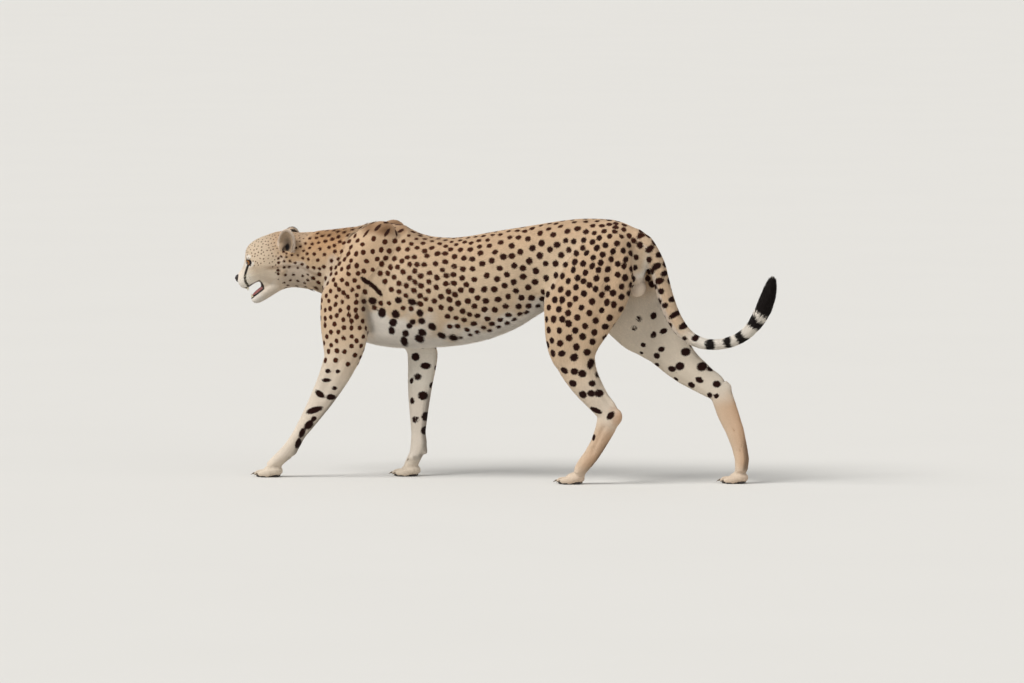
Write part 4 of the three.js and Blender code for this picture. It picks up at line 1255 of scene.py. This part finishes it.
# Tufts as thin closed blades: three corners at the root and at each bend, and one at the tip.
def growTufts(name, places, ups, where, shape, tint, field, tone, bends, ground, draw):
    count = len(places)
    length, width, lift = (s * draw.uniform(*tuftShape["spread"], count) for s in shape)
    swing = draw.normal(0, tuftShape["swing"], count)[:, None]
    side = np.cross(ups, where["lie"])
    lie = unit(where["lie"] + swing * side)
    side = unit(np.cross(ups, lie))
    rise = np.radians(lift)[:, None]
    # a tip stands above the skin that is under it, so that no tuft sinks in where the form is hollow
    flat = places + lie * np.cos(rise) * length[:, None]
    under = [ground.find_nearest(place) for place in flat.tolist()]
    tipUps = np.array([hit[1][:] for hit in under])
    height = np.sin(rise) * tuftShape["tip"] * length[:, None]
    tip = np.array([hit[0][:] for hit in under]) + tipUps * height
    rings = [0.0, *bends]
    triple = []
    root = places - ups * tuftShape["root"]
    bow = ups * np.sin(rise) * (tuftShape["bow"] * length[:, None])
    for i, share in enumerate(rings):
        middle = root + (tip - root) * share + bow * (4 * share * (1 - share)) * 0.4
        wide = (width * (1 - tuftShape["taper"] * share))[:, None]
        ahead = (tip - root) * (tuftShape["ridge"] if i == 0 else 0)
        triple += [middle - side * wide, middle + side * wide, middle + ahead + ups * (width * 0.5)[:, None]]
    corners = np.stack([*triple, tip], 1)
    each = corners.shape[1]
    lean = tuftShape["lean"] * side
    leans = [ups - lean, ups + lean, ups] * len(rings)
    shading = unit(np.stack([*leans, unit(ups + tipUps)], 1))
    faces = [(0, 1, 2)]
    for i in range(len(rings) - 1):
        a, b = 3 * i, 3 * i + 3
        for p, q in ((0, 1), (1, 2), (2, 0)):
            faces += [(a + p, b + q, a + q), (a + p, b + p, b + q)]
    last = 3 * (len(rings) - 1)
    faces += [(last, each - 1, last + 1), (last + 1, each - 1, last + 2), (last + 2, each - 1, last)]
    faces = np.array(faces)[:, ::-1]
    everyFace = (faces[None] + (np.arange(count) * each)[:, None, None]).reshape(-1, 3)
    mesh = fillMesh(name, corners.reshape(-1, 3), everyFace, shading.reshape(-1, 3))
    piece = addObject(name, mesh)
    addAttribute(piece, "tint", np.repeat(tint, each, 0))
    reach = np.array([r for share in rings for r in (share, share, share + 0.1)] + [1.0])
    glow = draw.normal(1, tuftShape["glowSpread"], count)[:, None]
    # the root is painted darker than the tip: painted shade between the hairs
    glow = glow * (tuftShape["glow"] + tuftShape["glowUp"] * reach)
    start, end = spotEnds(shape[0], where["part"])
    past = np.clip((reach - start) / (end - start), -0.3, 1.3)
    spotAt = np.clip(field[:, :1] + np.diff(field) * past, 0, fieldEnd)
    mark = np.stack([spotAt.ravel() / fieldEnd, np.repeat(tone, each), np.clip(glow, 0.5, 1.3).ravel()], 1)
    addAttribute(piece, "mark", mark)
    chart = chartPlace(where)
    spread = np.array([[-0.0015, 0.0], [0.0015, 0.0], [0.0, -0.0012]] * len(rings) + [[0.0, 0.0015]])
    uv = (chart[:, None, :] + spread[None]).reshape(-1, 2)
    layer = mesh.uv_layers.new(name="OFBake")
    layer.data.foreach_set("uv", uv[everyFace.ravel()].astype(np.float32).ravel())
    return piece


# Each part has a strip of its own on the chart: along it and round it.
def chartPlace(where):
    along = np.clip(where["run"] / 900, 0, 1)
    around = np.clip(where["angle"] / (2 * np.pi) + 0.5, 0, 1)
    strip = where["part"].astype(float)
    return np.stack([0.01 + 0.97 * along, (strip + 0.04 + 0.92 * around) / len(partNames)], 1)


# Each piece of the coat: its part, the stretch of that part in x that it covers, and how many tufts it has.
whole = (-1000, 2000)  # all of a part
coatPieces = {
    "coatHead": ("head", whole, 34000), "coatEars": ("ear", whole, 7000), "coatNeck": ("neck", whole, 32000),
    "coatChest": ("trunk", (-400, 20), 43000), "coatFlank": ("trunk", (20, 320), 43000),
    "coatRump": ("trunk", (320, 700), 40000), "coatTail": ("tail", whole, 14000),
    "coatForeLeft": ("foreLeft", whole, 27000), "coatForeRight": ("foreRight", whole, 27000),
    "coatHindLeft": ("hindLeft", whole, 35000), "coatHindRight": ("hindRight", whole, 35000),
}
coatSettings = {"seed": 41, "bent": ("coatTail", "coatEars"), "seen": 0.55}


def growCoat(skin, spots):
    points, normals = readMesh(skin)
    triangles = meshTriangles(skin)
    where = survey(points, normals)
    density = hairShape(points, normals, where)[3]
    material = coatMaterial("coatHair", True)
    ground = BVHTree.FromPolygons(points.tolist(), triangles.tolist())
    total = 0
    for i, (name, (part, span, count)) in enumerate(coatPieces.items()):
        draw = np.random.default_rng(coatSettings["seed"] + i)
        mine = (where["part"] == partOf[part]) & (points[:, 0] >= span[0]) & (points[:, 0] < span[1])
        local = np.where(mine, density, 0)
        bends = (0.45,) if name in coatSettings["bent"] else ()
        places, ups = sowRoots(points, normals, triangles, local, count, draw)
        rootWhere = survey(places, ups)
        length, width, lift, _ = hairShape(places, ups, rootWhere)
        # a tuft has the colour of the place that its outer half covers
        seen = places + rootWhere["lie"] * (length * coatSettings["seen"])[:, None]
        tint = paint(seen, ups, survey(seen, ups), spots)[0]
        # but a spot's edge crosses a tuft where it falls
        lie = rootWhere["lie"] * length[:, None]
        ends = spotEnds(length, rootWhere["part"])
        (near, nearTone), (far, farTone) = [spotField(places + lie * end, ups, spots) for end in ends]
        field, tone = np.stack([near, far], 1), np.clip(np.maximum(nearTone, farTone), 0, 1)
        field[spotless(places, rootWhere)] = fieldEnd
        shape = (length, width, lift)
        piece = growTufts(name, places, ups, rootWhere, shape, tint, field, tone, bends, ground, draw)
        piece.data.materials.append(material)
        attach(piece, "root")
        total += len(piece.data.polygons)
        print(name, count, "tufts")
    print("coat grown", total, "triangles")


def eyeToPlan(places, hand):
    at, turn = eyeFrame(hand)
    return headToPlan(at + places @ turn.T)


def eyeMaterial():
    shop = Shop("eyeGlass")
    gaze = shop.node("ShaderNodeAttribute", {"attribute_name": "gaze"}, (), "Fac")
    flecks = shop.noise(shop.place(), 900.0, 4.0, 0.7)
    iris = shop.mix(flecks, ink(104, 62, 28), ink(160, 108, 54))
    iris = shop.mix(shop.step(gaze, 0.48, 0.64), iris, ink(70, 36, 14))
    colour = shop.mix(shop.step(gaze, 0.235, 0.27), ink(5, 4, 4), iris)
    colour = shop.mix(shop.step(gaze, 0.62, 0.69), colour, ink(20, 12, 9))
    sockets = {"Base Color": colour, "Roughness": 0.2, "Specular IOR Level": 0.1}
    sockets.update({"Coat Weight": 1.0, "Coat Roughness": 0.02, "Coat IOR": 1.36})
    return shop.finish(sockets)


def makeEyes():
    material = eyeMaterial()
    for side, hand in hands.items():
        eye = addBall(48, 32, eyePlace["radius"])
        eye.name = "eyeball_" + side
        turned = cornersOf(eye)[:, [2, 0, 1]]  # the pole looks ahead
        angle = np.arccos(np.clip(unit(turned)[:, 0], -1, 1))
        bulge = 1 + 0.075 * np.exp(-((angle / 0.5) ** 2))
        writeMesh(eye, eyeToPlan(turned * bulge[:, None], hand))
        addAttribute(eye, "gaze", angle, "FLOAT")
        pickOnly(eye)
        bpy.ops.object.shade_smooth()
        eye.data.materials.append(material)
        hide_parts("eye_" + side)
        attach(eye, "root")


lidShape = {"rows": 9, "sides": 56, "outerWidth": 21, "outerHeight": 17, "puff": 1.3}


def makeLids(spots):
    rows, sides = lidShape["rows"], lidShape["sides"]
    for side, hand in hands.items():
        corners = []
        for row in range(rows):
            share = row / (rows - 1)
            for k in range(sides):
                angle = 2 * math.pi * k / sides
                c, s = math.cos(angle), math.sin(angle)
                # an almond: pointed at both corners, fuller above
                almondHigh = eyePlace["height"] * (abs(s) ** 1.25) * (0.82 if s > 0 else -0.98)
                across = blend(eyePlace["width"] * c * 1.02, lidShape["outerWidth"] * c * 0.86, share)
                up = blend(almondHigh, lidShape["outerHeight"] * s * 0.86, share)
                away = math.hypot(across, up)
                puff = lidShape["puff"] * math.sin(math.pi * min(share * 1.4, 1)) ** 0.7
                ball = eyePlace["radius"] + 0.35 + puff - 4.6 * max(0, share - 0.5) / 0.5
                ahead = math.sqrt(ball**2 - away**2) if away < ball else -(away - ball) * 1.1
                corners.append((ahead, across, up))
        inner = [(x - 1.4, y * 0.99, z * 0.99) for x, y, z in corners[:sides]]
        corners = np.array(inner + corners)
        faces = []
        for start in range(0, rows * sides, sides):
            for k in range(sides):
                nextK = (k + 1) % sides
                faces.append((start + k, start + sides + k, start + sides + nextK, start + nextK))
        mesh = bpy.data.meshes.new("lids_" + side)
        mesh.from_pydata(toFrame(eyeToPlan(corners, hand)).tolist(), [], faces)
        lids = addObject("lids_" + side, mesh)
        applyModifier(lids, "SOLIDIFY", {"thickness": 0.0008, "offset": -1})
        smoothOut(lids)
        points, normals = readMesh(lids)
        where = survey(points, normals)
        where["part"][:] = partOf["head"]
        tint, field, tone, _ = paint(points, normals, where, spots)
        addAttribute(lids, "tint", tint)
        addAttribute(lids, "mark", np.stack([field / fieldEnd, tone, np.full(len(points), 0.9)], 1))
        lids.data.materials.append(bpy.data.materials["coatHair"])
        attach(lids, "root")


# Two colours, the scale of the grain and of the clouds, roughness, and how strong and deep the grain is.
leathers = {
    "noseLeather": (ink(22, 17, 16), ink(48, 38, 36), 900.0, 60.0, 0.32, 0.35, 0.0008),
    "clawHorn": (ink(52, 42, 34), ink(150, 130, 104), 300.0, 60.0, 0.3, 0.35, 0.0008),
    "padLeather": (ink(30, 24, 22), ink(60, 50, 46), 500.0, 60.0, 0.55, 0.35, 0.0008),
    "tongue": (ink(150, 84, 82), ink(182, 112, 106), 700.0, 70.0, 0.3, 0.5, 0.0006),
}


def leatherMaterial(name):
    deep, light, grain, cloudScale, rough, strength, depth = leathers[name]
    shop = Shop(name)
    place = shop.place()
    cloud = shop.noise(place, cloudScale, 3.0)
    sockets = {"Base Color": shop.mix(cloud, deep, light), "Roughness": cloud * 0.2 + rough}
    sockets["Normal"] = shop.bump(shop.cells(place, grain), strength, depth)
    return shop.finish(sockets)


noseShape = {"voxel": 0.0009, "rounds": 10}


def makeNose():
    nose = copyNodes(["nose"], "noseLeather")
    fillOut(nose, noseShape["voxel"])
    applyModifier(nose, "SMOOTH", {"factor": 0.5, "iterations": noseShape["rounds"]})
    points, normals = readMesh(nose)
    local = planToHead(points)
    groove = np.exp(-((local[:, 1] / 1.6) ** 2)) * fade(local[:, 2], 4, -4) * fade(local[:, 0], 8, 2)
    points = points - normals * (1.7 * groove)[:, None]
    local = planToHead(points)
    local[:, 1] *= 1 + 0.16 * fade(local[:, 2], -5, 7) - 0.2 * fade(local[:, 2], -4, -12)  # broad above
    dome = np.exp(-(((local[:, 2] - 1) / 7) ** 2) - (local[:, 1] / 9) ** 2)
    local[:, 0] += 1.8 * dome * fade(local[:, 0], 4, 0)
    writeMesh(nose, headToPlan(local))
    nose.data.materials.append(leatherMaterial("noseLeather"))
    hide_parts("nose")
    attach(nose, "root")


toes = [(19, -24, -9), (34, -8.5, -3), (34, 8.5, 3), (19, 24, 9)]  # ahead, to the side, and turned in degrees
dewClaws = [((-470, 46, 62), -1), ((-104, 46, 60), 1)]
clawShape = {"radius": 3.2, "length": 12, "droop": 0.9}


def hornAlong(size, length, droop):  # a bent, pointed horn whose root is at the origin and which points to -x
    bpy.ops.mesh.primitive_cone_add(
        vertices=12, radius1=size, radius2=size * 0.12, depth=length, location=(0, 0, 0)
    )
    horn = bpy.context.active_object
    editAll(horn, lambda: bpy.ops.mesh.subdivide(number_cuts=4))
    places = cornersOf(horn)
    share = places[:, 2] / length + 0.5
    bent = places[:, 1] - droop * length * 0.35 * share**2
    setCorners(horn, np.stack([-share * length, places[:, 0] * 0.62, bent], 1))
    return horn


def makeClaws():
    model = hornAlong(clawShape["radius"], clawShape["length"], clawShape["droop"])
    places = []
    for x, y, hand, long, high in paws:
        for reach, side, turn in toes:
            swing = Matrix.Rotation(-math.radians(turn) * hand, 4, "Z")
            swing.translation = Vector((x - reach, hand * (y + side), 0))
            ahead = Matrix.Translation((-long + 4, 0, high * 0.85))
            places.append(swing @ ahead @ Matrix.Rotation(-0.15, 4, "Y"))
    for (x, y, z), hand in dewClaws:
        places.append(Matrix.Translation((x - 6, hand * y, z - 2)) @ Matrix.Rotation(-0.6, 4, "Y"))
    pieces = []
    for place in places:
        pieces.append(addObject("claw", model.data.copy()))
        pieces[-1].data.transform(place)
    bpy.data.objects.remove(model)
    claws = joinAll(pieces, "claws")
    writeMesh(claws, cornersOf(claws))
    finishPiece(claws, leatherMaterial("clawHorn"))


def finishPiece(piece, material):
    smoothOut(piece)
    piece.data.materials.clear()
    piece.data.materials.append(material)
    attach(piece, "root")


def padBall(at, size):
    pad = addBall(20, 12)
    places = cornersOf(pad)
    places[:, 2] = np.sign(places[:, 2]) * np.abs(places[:, 2]) ** 0.7  # flatter below, as under weight
    setCorners(pad, places * size + at)
    return pad


def makePads():
    pieces = []
    for x, y, hand, *_ in paws:
        for reach, side, _ in toes:
            pieces.append(padBall((x - reach - 5, hand * (y + side * 0.98), 4.6), (13, 7.6, 4.6)))
        for shift, side, size in ((2, 0, 17), (8, -11, 12), (8, 11, 12)):
            pieces.append(padBall((x + shift, hand * (y + side), 5.2), (size, size * 0.85, 5.2)))
    pieces.append(padBall((-447, -69, 79), (7, 7, 11)))
    pieces.append(padBall((-70, 69, 79), (7, 7, 11)))
    pads = joinAll(pieces, "pads")
    writeMesh(pads, cornersOf(pads))
    finishPiece(pads, leatherMaterial("padLeather"))


def jawToPlan(points):
    return headToPlan(jawToHead(points))


# Of each jaw: where a canine stands, the front teeth's place and distance, which way they point, its frame.
jaws = [
    ((20, 13.5, -30), (12.5, -37, 3.0), -1, headToPlan),
    ((18, 9, -56), (12.5, -46, 2.6), 1, jawToPlan),
]
toothShape = {"radius": 3.6, "length": 21, "front": 6}
tongueForm = {"at": (48, 0, -46), "size": (34, 14.5, 8.5), "flat": 0.001}  # the groove is above this height


def enamelMaterial():
    shop = Shop("enamel")
    cloud = shop.noise(shop.place(), 120.0, 3.0)
    colour = shop.mix(cloud, ink(236, 226, 200), ink(214, 196, 158))
    return shop.finish({"Base Color": colour, "Roughness": cloud * 0.15 + 0.18})


def makeMouth(enamel):
    teeth = []
    for hand in hands.values():
        for (x, y, z), _, down, place in jaws:
            horn = hornAlong(toothShape["radius"], toothShape["length"], 0.4 * down)
            spin = Matrix.Rotation(math.radians(90 * down), 4, "Y")
            horn.data.transform(Matrix.Translation((x, hand * y, z - 3 * down)) @ spin)
            writeMesh(horn, place(cornersOf(horn)))
            teeth.append(horn)
    for _, (x, z, apart), _, place in jaws:
        for k in range(toothShape["front"]):
            side = (k - (toothShape["front"] - 1) / 2) * apart
            tooth = padBall((x + 0.06 * side**2, side, z), (1.5, apart * 0.48, 3.2))
            writeMesh(tooth, place(cornersOf(tooth)))
            teeth.append(tooth)
    finishPiece(joinAll(teeth, "teeth"), enamel)
    tongue = padBall((0, 0, 0), (1, 1, 1))
    tongue.name = "tongue"
    applyModifier(tongue, "SUBSURF", {"levels": 1, "render_levels": 1})
    places = cornersOf(tongue)
    places[:, 2] -= 0.25 * np.exp(-((places[:, 1] / 0.22) ** 2)) * (places[:, 2] > tongueForm["flat"])
    writeMesh(tongue, jawToPlan(places * tongueForm["size"] + tongueForm["at"]))
    finishPiece(tongue, leatherMaterial("tongue"))


def makeWhiskers(enamel):
    draw = np.random.default_rng(whiskerShape["seed"])
    corners, faces = [], []
    steps = whiskerShape["steps"]
    for hand in hands.values():
        for row in range(whiskerShape["rows"]):
            for k in range(whiskerShape["each"]):
                root = whiskerRoot(row, k, hand)
                length = draw.uniform(*whiskerShape["length"]) * (0.65 + 0.1 * k)
                out = unit(np.array([0.55 + 0.1 * k, hand * 0.8, 0.25 - 0.22 * row + draw.normal(0, 0.08)]))
                sag = np.array([0.35, -hand * 0.15, -0.4])
                start = len(corners)
                for step in range(steps):
                    share = step / (steps - 1)
                    middle = root + out * length * share + sag * length * 0.35 * share**2
                    half = whiskerShape["half"] * (1 - 0.85 * share)
                    for angle in (0, 2.094, 4.189):  # a third of a turn apart
                        corners.append(middle + half * np.array([0, math.cos(angle), math.sin(angle)]))
                end = start + 3 * (steps - 1)
                for p in range(start, end, 3):
                    for a, b in ((0, 1), (1, 2), (2, 0)):
                        faces.append((p + a, p + b, p + 3 + b, p + 3 + a))
                faces.append((start, start + 2, start + 1))
                faces.append((end, end + 1, end + 2))
    mesh = bpy.data.meshes.new("whiskers")
    mesh.from_pydata(toFrame(headToPlan(np.array(corners))).tolist(), [], faces)
    finishPiece(addObject("whiskers", mesh), enamel)


stageSet = {"floor": ink(214, 211, 205), "cloud": ink(196, 193, 187), "sky": ink(236, 238, 240), "size": 160}
# Each light's place, angle in degrees and strength.
lights = {"key": ((-4.0, -4.0, 6.2), 34, 3.0), "fill": ((4.5, -2.0, 3.0), 60, 0.5)}


def makeStage():
    bpy.ops.mesh.primitive_plane_add(size=stageSet["size"], location=(0, 0, 0))
    floor = bpy.context.active_object
    floor.name = "floor"
    shop = Shop("floorPale")
    cloud = shop.noise(shop.place(), 1.2, 4.0)
    colour = shop.mix(cloud * 0.15, stageSet["floor"], stageSet["cloud"])
    floor.data.materials.append(shop.finish({"Base Color": colour, "Roughness": 0.9}))
    world = bpy.data.worlds.new("studio")
    bpy.context.scene.world = world
    world.use_nodes = True
    back = world.node_tree.nodes["Background"]
    back.inputs["Color"].default_value = (*stageSet["sky"], 1)
    back.inputs["Strength"].default_value = 0.5
    for name, (at, angle, power) in lights.items():
        bpy.ops.object.light_add(type="SUN", location=at)
        light = bpy.context.active_object
        light.name = name
        light.data.angle = math.radians(angle)
        light.data.energy = power
        light.rotation_euler = (-Vector(at)).to_track_quat("-Z", "Y").to_euler()


cameraSet = {"azimuth": 15, "height": 4, "away": 25.0, "across": 3.1232, "right": 0.02252, "up": 0.42306}


def makeCamera():
    azimuth, height = math.radians(cameraSet["azimuth"]), math.radians(cameraSet["height"])
    right = Vector((math.cos(azimuth), math.sin(azimuth), 0))
    level = math.cos(height)
    look = Vector((-math.sin(azimuth) * level, math.cos(azimuth) * level, -math.sin(height)))
    up = right.cross(look)
    aim = right * cameraSet["right"] + up * cameraSet["up"]
    lens = bpy.data.cameras.new("camera")
    camera = addObject("camera", lens)
    camera.location = aim - look * cameraSet["away"]
    camera.rotation_euler = look.to_track_quat("-Z", "Y").to_euler()
    lens.lens = lens.sensor_width * cameraSet["away"] / cameraSet["across"]
    lens.clip_end = 300
    bpy.context.scene.camera = camera


bpy.context.scene.view_settings.view_transform = "Standard"
makeCamera()
makeStage()
skin = makeSkin()
skinPoints, skinNormals = readMesh(skin)
groundDraw = np.random.default_rng(scatter["groundSeed"])
even = np.ones(len(skinPoints))
spotGround = sowRoots(skinPoints, skinNormals, meshTriangles(skin), even, scatter["samples"], groundDraw)
spots = scatterSpots(*spotGround)
print("spots", len(spots))
dressSkin(skin, spots)
growCoat(skin, spots)
makeEyes()
makeLids(spots)
makeNose()
makeClaws()
makePads()
enamel = enamelMaterial()
makeMouth(enamel)
makeWhiskers(enamel)
print("small pieces made")
